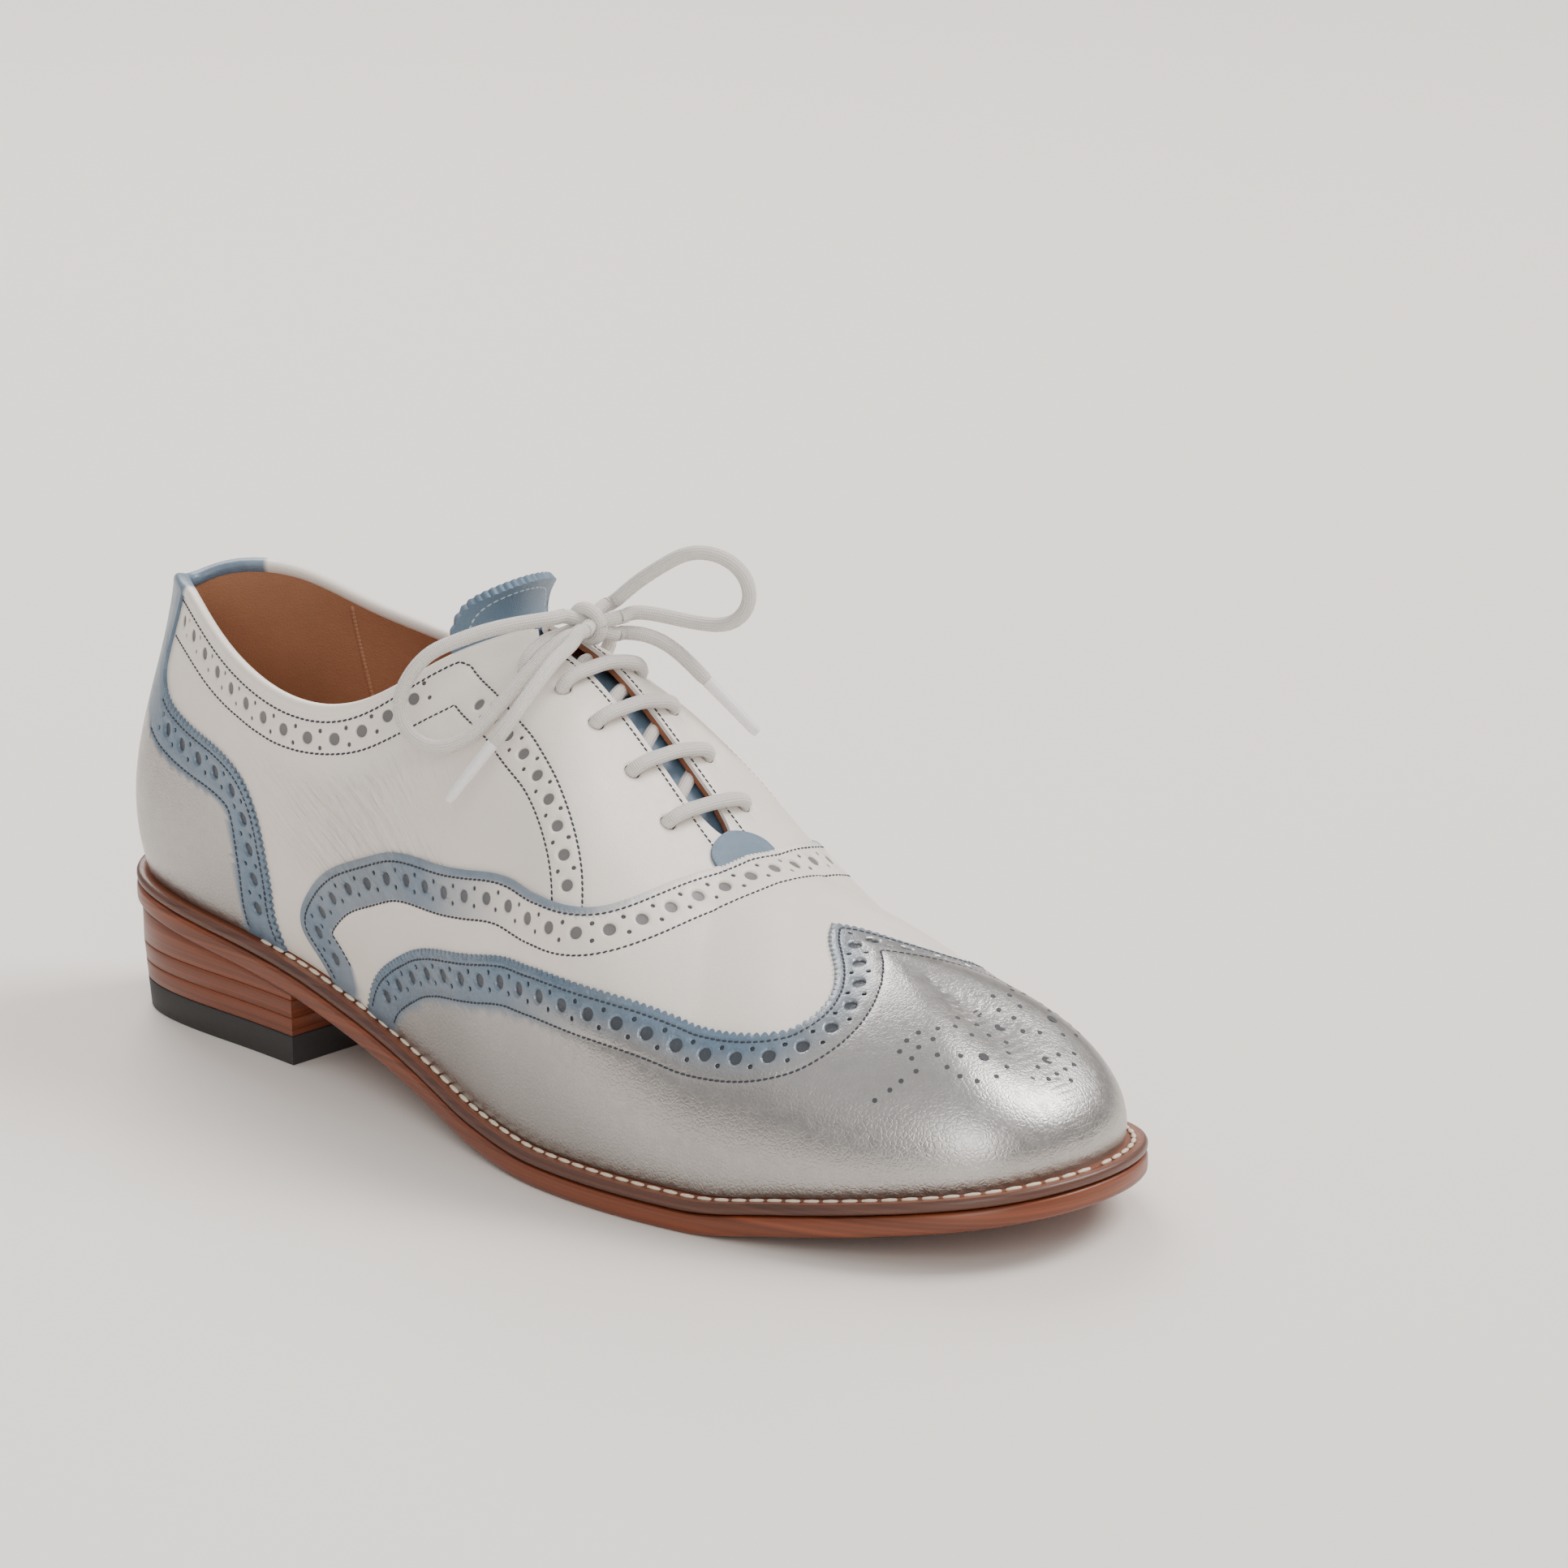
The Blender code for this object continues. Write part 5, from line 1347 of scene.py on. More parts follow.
def make_free_lace():
    """The bow's two loops and two tipped ends, each a cord that starts on the knot."""
    stuff = finishes()
    for name, side, loop, end, seats in (
        ("outer", -1, LOOP_OUTER, END_OUTER, SEATS_OUTER),
        ("inner", 1, LOOP_INNER, END_INNER, SEATS_INNER),
    ):
        first = at_knot(seats["loop"], side)
        last = at_knot(seats["back"], side)
        middle = [place_free(row) for row in loop]
        route = smooth_route([*first, *middle, *last[::-1]], CORD_STEP)
        bow = tube(f"bow_loop_{name}", route, LACE, stuff["lace_braid"])
        place_piece(bow, "lace_cotton", f"lace_loop_{name}")
        path = [tuple(spot) for spot in route + SHIFT]
        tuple(path[0])
        float(chords(route)[-1])
        start = at_knot(seats["end"], side)
        route = smooth_route([*start, *[place_free(row) for row in end]], CORD_STEP)
        way = route[-1] - route[-2]
        way /= np.linalg.norm(way)
        shares = np.array([0.0, 0.02, 0.03, 0.06, 0.5, 0.9, 0.97, 1.0])
        widths = np.array([0.80, 0.96, 1.0, 0.97, 0.92, 0.88, 0.82, 0.66])
        tip_route = route[-1] + way * (TOUCH + shares[:, None] * AGLET_LENGTH)
        tip = tube(f"lace_tip_{name}", tip_route, AGLET, stuff["clear_tip"], taper=widths)
        place_piece(tip, "lace_tip", f"aglet_{name}")
        held = route[-1] + way * np.linspace(0.1, 0.95, 8)[:, None] * AGLET_LENGTH
        squeeze = np.concatenate([np.ones(len(route) - 1), [0.86], np.full(8, 0.5)])
        route = np.vstack([route, held])
        free = tube(f"bow_end_{name}", route, LACE, stuff["lace_braid"], taper=squeeze)
        place_piece(free, "lace_cotton", f"lace_end_{name}")
        path = [tuple(spot) for spot in route + SHIFT]
        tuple(path[0])
        float(chords(route)[-1])


def eyelet_places():
    rows = np.linspace(FIRST_EYELET, LAST_EYELET, EYELETS)
    return [(side, [beside_ridge(row, side, EYELET_SIDE) for row in rows]) for side in (-1, 1)]


def under_plan(plan, place, low=(0.0, -1.0), high=(1.0, 1.0), tries=10):
    """The place on the skin at a plan point, found in small steps from a place near it."""
    for _ in range(tries):
        here = skin(*place)
        run = (skin(place[0] + DELTA, place[1]) - here) / DELTA
        rise = (skin(place[0], place[1] + DELTA) - here) / DELTA
        grid = np.stack([run[:2], rise[:2]], 1)
        change = 0.8 * np.linalg.lstsq(grid, plan[:2] - here[:2], rcond=None)[0]
        place = np.clip(place + np.clip(change, -0.08, 0.08), low, high)
    return place


def over_skin(start, end, shares, height):
    """Points above the skin on the straight way, seen from above, between two places."""
    first = skin(*start)
    last = skin(*end)
    points = []
    for share in shares:
        place = np.array([0.5 * (start[0] + end[0]), start[1] * (1 - share) + end[1] * share])
        place = under_plan(first * (1 - share) + last * share, place)
        points.append(lift(np.array([place]), height)[0])
    return points


def make_lacing():
    """The bars over the slit, the strands that cross under it, the top bars and the knot."""
    stuff = finishes()
    outer, inner = [places for _, places in eyelet_places()]
    ride = LACE / 2 + GAP
    for i in range(1, EYELETS):
        ends = []
        for place in (outer[i], inner[i]):
            below = lift(np.array([place]), -0.6 * LACE)[0]
            dip = lift(np.array([place]), 0.10 * LACE)[0]
            ends.append((below, dip))
        near, far = [over_skin(outer[i], inner[i], [share], 0.9 * ride)[0] for share in (0.07, 0.93)]
        middle = over_skin(outer[i], inner[i], (0.17, 0.33, 0.50, 0.67, 0.83), 1.2 * ride)
        route = smooth_route([*ends[0], near, *middle, far, *ends[1][::-1]], 0.0014)
        bar = tube(f"lace_bar_over_{i + 1}", route, LACE, stuff["lace_braid"])
        place_piece(bar, "lace_cotton", f"lace_bar_{i + 1}")
    for i in range(EYELETS - 1):
        start = lift(np.array([inner[i]]), -WALL - 0.55 * LACE)[0]
        end = lift(np.array([outer[i + 1]]), -WALL - 0.55 * LACE)[0]
        middle = over_skin(inner[i], outer[i + 1], (0.3, 0.5, 0.7), -WALL - 0.35 * LACE)
        route = smooth_route([start, *middle, end], 0.003)
        under = tube(f"lace_under_{i + 1}", route, LACE, stuff["lace_braid"])
        place_piece(under, "lace_cotton")
    for (side, places), name, seats in zip(eyelet_places(), ("outer", "inner"), (SEATS_OUTER, SEATS_INNER)):
        hole = np.array(places[:1])
        end, before = at_knot(seats["bar"], side)
        dip = lift(hole, -0.4 * LACE)[0]
        shoulder = lift(hole, 0.65 * LACE)[0]
        way = before - shoulder
        shoulder = shoulder + way * (0.3 * LACE / np.linalg.norm(way))
        inward = end - (before - end) * 0.8
        route = smooth_route([dip, shoulder, before, end, inward], 0.0014)
        bar = tube(f"lace_top_{name}", route, LACE, stuff["lace_braid"])
        place_piece(bar, "lace_cotton", f"lace_bar_1_{name}")
    middle = place_free(KNOT_PLACE)
    turn = np.linspace(0, 2 * pi, 49)
    slant = 0.0010 * np.cos(turn) - 0.0008 * np.sin(turn)
    ring = np.stack([0.0030 * np.cos(turn), slant, 0.0037 * np.sin(turn)], 1)
    wrap = tube("knot_turn", middle + ring, LACE, stuff["lace_braid"])
    place_piece(wrap, "lace_cotton", "lace_knot")
    shares = ((1, 1, 1), (0.8, 0.7, 0.8), (0.45, 0.35, 0.45), (0.2, 0, 0.2))
    for side, name, seats in ((-1, "outer", SEATS_OUTER), (1, "inner", SEATS_INNER)):
        for strand, seat in seats.items():
            away = at_knot(seat, side)[0] - middle
            route = smooth_route([middle + away * share for share in shares], 0.0010)
            core = tube(f"knot_strand_{name}_{strand}", route, LACE, stuff["lace_braid"])
            place_piece(core, "lace_cotton")


# Sole


def sole_places():
    share = np.linspace(0, 1, 150)
    return 0.55 * share + 0.45 * (1 - np.cos(share * pi)) / 2


def sole_ring(inset, height):
    """A ring of points round the whole sole at an inset from its edge and a height over its tread."""
    along = sole_places()
    inset = inset(along) if callable(inset) else np.full(len(along), inset)
    outer = outline(along, 0, inset)[0]
    inner = outline(along, 1, inset)[0]
    plan = np.vstack([outer, inner[-2:0:-1]])
    return np.column_stack([plan, tread(plan[:, 0]) + height])


def join_rings(mesh, first, second, material=0):
    count = len(first)
    for i in range(count):
        j = (i + 1) % count
        mesh.faces.new([first[i], first[j], second[j], second[i]]).material_index = material


def close_ring(mesh, ring):
    """Strips across a heel-to-toe ring, from its outer side to its inner side."""
    count = len(ring)
    half = count // 2
    mesh.faces.new([ring[0], ring[1], ring[-1]])
    for i in range(1, half - 1):
        mesh.faces.new([ring[i], ring[i + 1], ring[count - i - 1], ring[count - i]])
    mesh.faces.new([ring[half - 1], ring[half], ring[half + 1]])


def stacked(name, rings, materials):
    """A solid through stacked rings, closed at both ends."""
    mesh = bmesh.new()
    levels = [[mesh.verts.new(point) for point in ring] for ring in rings]
    for lower, upper in zip(levels, levels[1:]):
        join_rings(mesh, lower, upper)
    close_ring(mesh, levels[0])
    close_ring(mesh, levels[-1])
    return from_bmesh(name, mesh, materials, sharp=0.9)


def make_sole():
    """Outsole, welt with its stitches, insole and stacked heel."""
    stuff = finishes()
    top = SOLE_THICKNESS - GAP
    rings = [
        sole_ring(0.0013, 0.0),
        sole_ring(0.0005, 0.0002),
        sole_ring(0.0001, 0.0007),
        sole_ring(0.0, 0.0014),
        sole_ring(0.0, top - 0.0011),
        sole_ring(0.0002, top - 0.0005),
        sole_ring(0.0006, top - 0.0001),
        sole_ring(0.0012, top),
    ]
    outsole = stacked("leather_outsole", rings, [stuff["sole_edge"]])
    place_piece(outsole, "sole_leather", "outsole")
    mesh = bmesh.new()
    base = SOLE_THICKNESS
    face = SOLE_THICKNESS + WELT_THICKNESS - GAP
    groove = 0.0032
    profile = [
        (0.0012, base), (0.0005, base + 0.0001), (0.0001, base + 0.0005), (0.0, base + 0.0010),
        (0.0, face - 0.0010), (0.0003, face - 0.0004), (0.0008, face - 0.0001), (0.0014, face),
        (groove - 0.0008, face), (groove - 0.0004, face - 0.0003), (groove + 0.0004, face - 0.0003),
        (groove + 0.0008, face),
    ]
    rings = [sole_ring(inset, height) for inset, height in profile]
    rings += [sole_ring(lambda along: margin(along) + WELT_SEAT, height) for height in (face, base)]
    levels = [[mesh.verts.new(point) for point in ring] for ring in rings]
    for i, (lower, upper) in enumerate(zip(levels, levels[1:] + levels[:1])):
        join_rings(mesh, lower, upper, 1 if i > 5 else 0)
    welt = from_bmesh("stitched_welt", mesh, [stuff["welt_edge"], stuff["welt_top"]], sharp=0.9)
    place_piece(welt, "welt_leather", "welt")
    pitch = bpy.context.scene.shoe_sizes.welt_stitch
    spots = []
    for side in (0, 1):
        along = np.linspace(0.22, 1.0, 900)
        plan = outline(along, side, np.full(900, groove))[0]
        points = np.column_stack([plan, tread(plan[:, 0]) + face + 0.0001])
        run = chords(points)
        even = np.arange(0, run[-1] - 0.3 * pitch, pitch)
        points = np.stack([np.interp(even, run, points[:, k]) for k in range(3)], 1)
        ways = np.gradient(points, axis=0)
        ways /= np.linalg.norm(ways, axis=1)[:, None]
        spots += [(point, way, np.array([0.0, 0.0, 1.0])) for point, way in zip(points, ways)]
    thread = sew("welt_stitches", spots, 0.86 * pitch, 0.0013, 0.0009, stuff["welt_thread"])
    place_piece(thread, "welt_leather")
    bpy.data.objects["insole"].material_slots[0].material = stuff["lining_leather_fine"]
    make_heel(stuff)


def heel_ring(inset, height):
    """Plan of the heel from breast to breast round the back. height is a number or a function of x."""
    fine = np.linspace(0, 0.45, 400)
    sides = []
    for side in (0, 1):
        plan = outline(fine, side, np.full(400, inset))[0]
        end = np.interp(HEEL_LENGTH - inset, plan[:, 0], fine)
        along = end * np.sin(np.linspace(0, pi / 2, 48))
        sides.append(outline(along, side, np.full(48, inset))[0])
    plan = np.vstack([sides[0][::-1], sides[1][1:]])
    heights = height(plan[:, 0]) if callable(height) else np.full(len(plan), height)
    return np.column_stack([plan, heights])


def heel_layer(name, bottom, top, bottom_inset, top_inset, material):
    """One layer of the heel with softly rounded edges."""
    soft = 0.00025
    rings = [
        heel_ring(bottom_inset + soft, bottom),
        heel_ring(bottom_inset, bottom + soft),
        heel_ring(top_inset, (lambda x: top(x) - soft) if callable(top) else top - soft),
        heel_ring(top_inset + soft, top),
    ]
    mesh = bmesh.new()
    levels = [[mesh.verts.new(point) for point in ring] for ring in rings]
    for lower, upper in zip(levels, levels[1:]):
        join_rings(mesh, lower, upper)
    for ring in (levels[0], levels[-1]):
        count = len(ring)
        for i in range(count // 2 - 1):
            mesh.faces.new([ring[i], ring[i + 1], ring[count - 2 - i], ring[count - 1 - i]])
        middle = count // 2
        mesh.faces.new([ring[middle - 1], ring[middle], ring[middle + 1]])
    return from_bmesh(name, mesh, [material], sharp=0.9)


def make_heel(stuff):
    """Rubber top piece on the floor, level lifts over it and a wedge that follows the sole."""
    breast = float(tread(HEEL_LENGTH))
    stack = breast - GAP - WEDGE_EDGE
    lift_height = (stack - TOP_PIECE) / LIFTS

    def inset(height):
        return HEEL_INSET + HEEL_TAPER * (1 - height / breast)

    tap = heel_layer("rubber_top_piece", 0.0, TOP_PIECE - 0.0001, inset(0), inset(TOP_PIECE),
                     stuff["heel_rubber_fine"])
    place_piece(tap, "heel_rubber", "heel_top_piece")
    for i in range(LIFTS):
        bottom = TOP_PIECE + i * lift_height
        top = bottom + lift_height
        layer = heel_layer(f"stacked_lift_{i + 1}", bottom, top - TOUCH, inset(bottom), inset(top),
                           stuff["sole_edge"])
        place_piece(layer, "sole_leather", f"heel_lift_{i + 1}")
    wedge = heel_layer("stacked_wedge", stack, lambda x: tread(x) - 0.0001, inset(stack), HEEL_INSET,
                       stuff["sole_edge"])
    place_piece(wedge, "sole_leather", "heel_wedge")


# Upper


def throat_edge(side):
    """One edge of the slit between the facings, from the collar down to the rounded end."""
    along = np.linspace(0.40, SLIT_END, 300)
    half = SLIT_WIDTH / 2
    line = []
    for place in along[along > RIDGE_START - 0.012]:
        shrink = np.sqrt(np.clip((SLIT_END - place) / (half * 1.9 / LENGTH), 0, 1))
        line.append(beside_ridge(place, side, half * min(1.0, shrink)))
    return np.array(line)


def collar_line(side, step):
    """The collar's rim from the heel to the slit."""
    along = np.linspace(0, RIDGE_START - 0.012, 400)
    collar = np.stack([along, np.full(400, side * 1e-6)], 1)
    slit = throat_edge(side)
    corner = skin(slit[:1, 0], slit[:1, 1])
    near = np.linalg.norm(skin(collar[:, 0], collar[:, 1]) - corner, axis=1)
    return resample(collar[:near.argmin() - 3], step)


def opening_loop(step):
    """One loop round the collar and the slit: heel, outer side, slit, inner side, heel."""
    halves = [np.vstack([collar_line(side, step), resample(throat_edge(side), step)]) for side in (-1, 1)]
    return np.vstack([halves[0], halves[1][-2:0:-1]])


def rim_line(side, distance, start, end):
    """A line at one distance below the collar's rim."""
    line = [beside_ridge(along, side, distance) for along in np.linspace(start, end, 160)]
    return resample(np.array(line), SEAM_STEP)


def band_lines(edge, hand, sizes):
    """First seam, hole line and second seam of a punched band beside an edge."""
    first = shift_line(edge, -hand * FIRST_SEAM, SEAM_STEP)
    middle = shift_line(edge, -hand * sizes.hole_line, SEAM_STEP)
    second = shift_line(middle, -hand * (sizes.band - sizes.hole_line), SEAM_STEP)
    return first, middle, second


def on_panel(line, margin_up=0.02):
    """The part of a line that stays clear of the welt."""
    return line[np.abs(line[:, 1]) < 1 - margin_up]


def make_quarters():
    """Lining and quarters, with the collar band, the facing band and the eyelets."""
    stuff = finishes()
    sizes = bpy.context.scene.shoe_sizes
    eyelets = [(place, EYELET) for _, places in eyelet_places() for place in places]
    opening = with_depth(opening_loop(0.0016), 0.0)
    welt = with_depth(np.vstack([welt_line(-1, 0, 1), welt_line(1, 1, 0)[1:-1]]), 0.0)
    faces = [stuff["backing_leather"], stuff["lining_leather_fine"]]
    # the lining's paint darkens it from the heel towards the front, deep in the shoe: painted shade
    lining = panel("shoe_lining", [welt, opening], LINING, faces, holes=eyelets, step=0.0032,
                   paint=lambda places, rim: smooth(0.10, 0.40, places[:, 0]))
    place_piece(lining, "lining_leather", "upper")
    seam = []
    for side in (-1, 1):
        upright = np.stack([np.full(60, LINING_SEAM), side * np.linspace(0.04, 0.75, 60)], 1)
        seam += stitch_spots(upright, LINING[1], 0.0010, 0.0)
    ridge = sew("lining_seam", seam, 0.0024, 0.0015, 0.0009, stuff["lining_leather_fine"])
    place_piece(ridge, "lining_leather")
    front = on_welt(shift_line(mirrored_edge(VAMP_EDGE, 0.002), -0.0140, 0.002), 0.72)
    back = np.vstack([welt_line(-1, front[0, 0], 0)[:-1], welt_line(1, 0, front[-1, 0])])
    loop = with_depth(np.vstack([back, front[-2:0:-1]]), 0.0)
    rows = []
    spots = []
    holes = list(eyelets)
    for side in (-1, 1):
        upper_seam = rim_line(side, 0.0029, 0.112, 0.462)
        lower_seam = edge_line(COLLAR_SEAM, side)
        rear = edge_line(FACING_REAR, side)
        fore = edge_line(FACING_FRONT, side)
        away = SLIT_WIDTH / 2 + 0.0021
        slit = np.array([beside_ridge(along, side, away) for along in np.linspace(0.515, 0.684, 90)])
        slit = resample(slit, SEAM_STEP)
        upper_seam = np.vstack([upper_seam[:-2], fore[:1]])
        for line in (upper_seam, lower_seam, rear, fore, slit):
            rows += seam_rows(line)
            spots += stitch_spots(line, -STITCH_SINK, sizes.stitch)
        holes += punch(rim_line(side, 0.0070, 0.122, 0.446), sizes)
        holes += punch(facing_middle(rear, fore), sizes)
    quarters = panel("white_quarters", [loop, opening], QUARTER, [stuff["white_leather_fine"]], rows=rows,
                     holes=holes)
    place_piece(quarters, "white_leather")
    thread = sew("quarter_stitches", spots, *STITCH_SIZE, stuff["dark_thread"])
    place_piece(thread, "white_leather")


def facing_middle(rear, fore):
    """The line half way between the facing band's two seams, above the vamp."""
    share = np.linspace(0.06, 0.93, 60)
    lines = []
    for line in (rear, fore):
        run = np.linspace(0, 1, len(line))
        lines.append(np.stack([np.interp(share, run, line[:, k]) for k in (0, 1)], 1))
    return resample((lines[0] + lines[1]) / 2, 0.001)


def make_vamp():
    """The white vamp with its punched band, reaching under the wing cap to the toe."""
    stuff = finishes()
    sizes = bpy.context.scene.shoe_sizes
    edge = mirrored_edge(VAMP_EDGE, 0.0012)
    toe = np.vstack([welt_line(1, edge[-1, 0], 1), welt_line(-1, 1, edge[0, 0])[1:]])
    loop = np.vstack([with_depth(edge, 0.00022), with_depth(toe[1:-1], 0.0)])
    first, middle, second = band_lines(edge, 1, sizes)
    rows = [with_depth(on_panel(slide(edge, -0.0005)), 0.0)]
    spots = []
    for line in (first, second):
        line = on_panel(line)
        rows += seam_rows(line)
        spots += stitch_spots(line, VAMP[0] - STITCH_SINK, sizes.stitch)
    holes = punch(on_panel(middle, 0.05), sizes)

    def paint(places, rim):
        band = smooth(0.0118, 0.0108, rim) * smooth(0.545, 0.44, places[:, 0])
        lit = smooth(0.0026, 0.0016, rim) * smooth(0.675, 0.58, places[:, 0])
        return np.maximum(band, lit)

    vamp = panel("white_vamp", [loop], VAMP, [stuff["white_leather_fine"]], rows=rows, holes=holes,
                 free=edge, paint=paint)
    place_piece(vamp, "white_leather", "vamp")
    thread = sew("vamp_stitches", spots, *STITCH_SIZE, stuff["dark_thread"])
    place_piece(thread, "white_leather")


def make_medallion(stuff, sizes):
    """The punched ornament of the toe as thin dark discs, a painted shade for its holes: half a pattern,
    mirrored over its axis.
    """
    middle = np.array([MEDALLION_PLACE[0] * LENGTH, MEDALLION_PLACE[1] * BALL_WIDTH])
    ahead = np.array([cos(MEDALLION_TURN), sin(MEDALLION_TURN)])
    beside = np.array([-ahead[1], ahead[0]])
    mesh = bmesh.new()
    for rows, diameter in ((MEDALLION_LARGE, 0.8 * sizes.large_hole), (MEDALLION_SMALL, sizes.small_hole)):
        for forward, aside in rows:
            for hand in (-1, 1) if aside else (1,):
                plan = middle + (ahead * forward + beside * aside * hand) * LENGTH
                place = under_plan(plan, np.array([1.0, -0.5]), (0.78, -0.96), (1.22, -0.04), 30)
                step = 1e-3
                here = skin(*place)
                if np.linalg.norm(here[:2] - plan) > 0.5 * diameter:
                    continue
                ahead_of = skin(place[0] + step, place[1]) - here
                above = skin(place[0], place[1] + step) - here
                normal = Vector(np.cross(ahead_of, above)).normalized()
                spot = Vector(here) + normal * (WING[0] - 0.0001)
                turn = normal.to_track_quat("Z", "Y").to_matrix().to_4x4()
                bmesh.ops.create_cone(mesh, cap_ends=True, segments=14, radius1=diameter / 2,
                                      radius2=diameter / 2, depth=0.0003,
                                      matrix=Matrix.Translation(spot) @ turn)
    punched = from_bmesh("toe_medallion", mesh, [stuff["hole_shade_disc"]])
    place_piece(punched, "silver_leather")


def make_wing_cap():
    """The silver wing cap with pinked blue band, punched row and toe medallion."""
    stuff = finishes()
    sizes = bpy.context.scene.shoe_sizes
    edge = mirrored_edge(WING_EDGE, 0.0010)
    teeth = pinked(edge, sizes.tooth_pitch, sizes.tooth_depth)
    teeth = on_welt(teeth)
    toe = np.vstack([welt_line(1, teeth[-1, 0], 1), welt_line(-1, 1, teeth[0, 0])[1:]])
    loop = np.vstack([with_depth(teeth, 0.0003), with_depth(toe[1:-1], 0.0)])
    first, middle, second = band_lines(edge, 1, sizes)
    inner = on_panel(shift_line(edge, -sizes.tooth_depth - 0.00045, SEAM_STEP))
    rows = [with_depth(inner, 0.0)]
    spots = []
    for line in (shift_line(first, -0.0004, SEAM_STEP), second):
        line = on_panel(line)
        rows += seam_rows(line)
        spots += stitch_spots(line, WING[0] - STITCH_SINK, sizes.stitch)
    holes = punch(on_panel(middle, 0.05), sizes)

    def paint(places, rim):
        ahead = smooth(0.74, 0.80, places[:, 0])
        inner_side = smooth(-0.1, 0.1, places[:, 1])
        full = smooth(0.0120, 0.0106, rim) * smooth(0.64, 0.50, places[:, 0])
        fading = smooth(0.0112, 0.0030, rim) * (1 - 0.35 * ahead - 0.45 * inner_side * ahead)
        pinks = smooth(0.0032, 0.0018, rim) * (1 - 0.35 * ahead)
        return np.maximum(np.maximum(0.92 * full, fading), pinks)

    cap = panel("silver_wing_cap", [loop], WING, [stuff["silver_leather_fine"]], rows=rows, holes=holes,
                free=teeth, paint=paint)
    place_piece(cap, "silver_leather", "wing_cap")
    thread = sew("wing_stitches", spots, *STITCH_SIZE, stuff["dark_thread"])
    place_piece(thread, "silver_leather")
    make_medallion(stuff, sizes)


def make_counter():
    """The silver heel counter with its blue back stay."""
    stuff = finishes()
    sizes = bpy.context.scene.shoe_sizes
    halves = []
    rows = []
    spots = []
    holes = []
    free = []
    for side in (-1, 1):
        edge = edge_line(COUNTER_EDGE, side, 0.0010)
        fine = resample(edge, sizes.tooth_pitch / 8)
        run = chords(skin(fine[:, 0], fine[:, 1]))
        band_end = np.argmin(np.abs(fine[:, 0] - 0.112) + np.abs(1 - np.abs(fine[:, 1]) - 0.66))
        stay = smooth(run[band_end] + 0.004, run[band_end] - 0.004, run)
        count = round(run[-1] / sizes.tooth_pitch)
        wave = np.abs(np.sin(pi * count * run / run[-1])) - 1
        teeth = slide(fine, side * sizes.tooth_depth * wave * stay)
        teeth = teeth[np.abs(teeth[:, 1]) < 0.998]
        rim = collar_line(side, 0.0016)
        rim = rim[rim[:, 0] <= edge[-1, 0]]
        teeth = teeth[np.abs(teeth[:, 1]) > 0.004]
        welt = welt_line(side, edge[0, 0], 0)
        halves.append(np.vstack([
            with_depth(welt[::-1], 0.0), with_depth(teeth, 0.00025), with_depth(rim[:0:-1], 0.0),
        ]))
        free.append(teeth)
        first, middle, second = band_lines(edge[: int(len(edge) * run[band_end] / run[-1])], side, sizes)
        inner = slide(edge, side * (sizes.tooth_depth + 0.0004))
        rows.append(with_depth(on_panel(inner), 0.0))
        for line in (first, second):
            line = on_panel(line)
            rows += seam_rows(line)
            spots += stitch_spots(line, COUNTER[0] - STITCH_SINK, sizes.stitch)
        holes += punch(on_panel(middle, 0.05), sizes)
    loop = np.vstack([halves[0], [[0.0, -1e-6, 0.0]], halves[1][:0:-1]])

    def paint(places, rim):
        up = 1 - np.abs(places[:, 1])
        stay = smooth(0.64, 0.70, up) * smooth(0.17, 0.15, places[:, 0])
        band = smooth(0.0120, 0.0108, rim)
        return np.maximum(stay, band)

    counter = panel("silver_heel_counter", [loop], COUNTER, [stuff["silver_leather_fine"]], rows=rows,
                    holes=holes, free=np.vstack(free), paint=paint)
    place_piece(counter, "silver_leather", "heel_counter")
    thread = sew("counter_stitches", spots, *STITCH_SIZE, stuff["dark_thread"])
    place_piece(thread, "silver_leather")


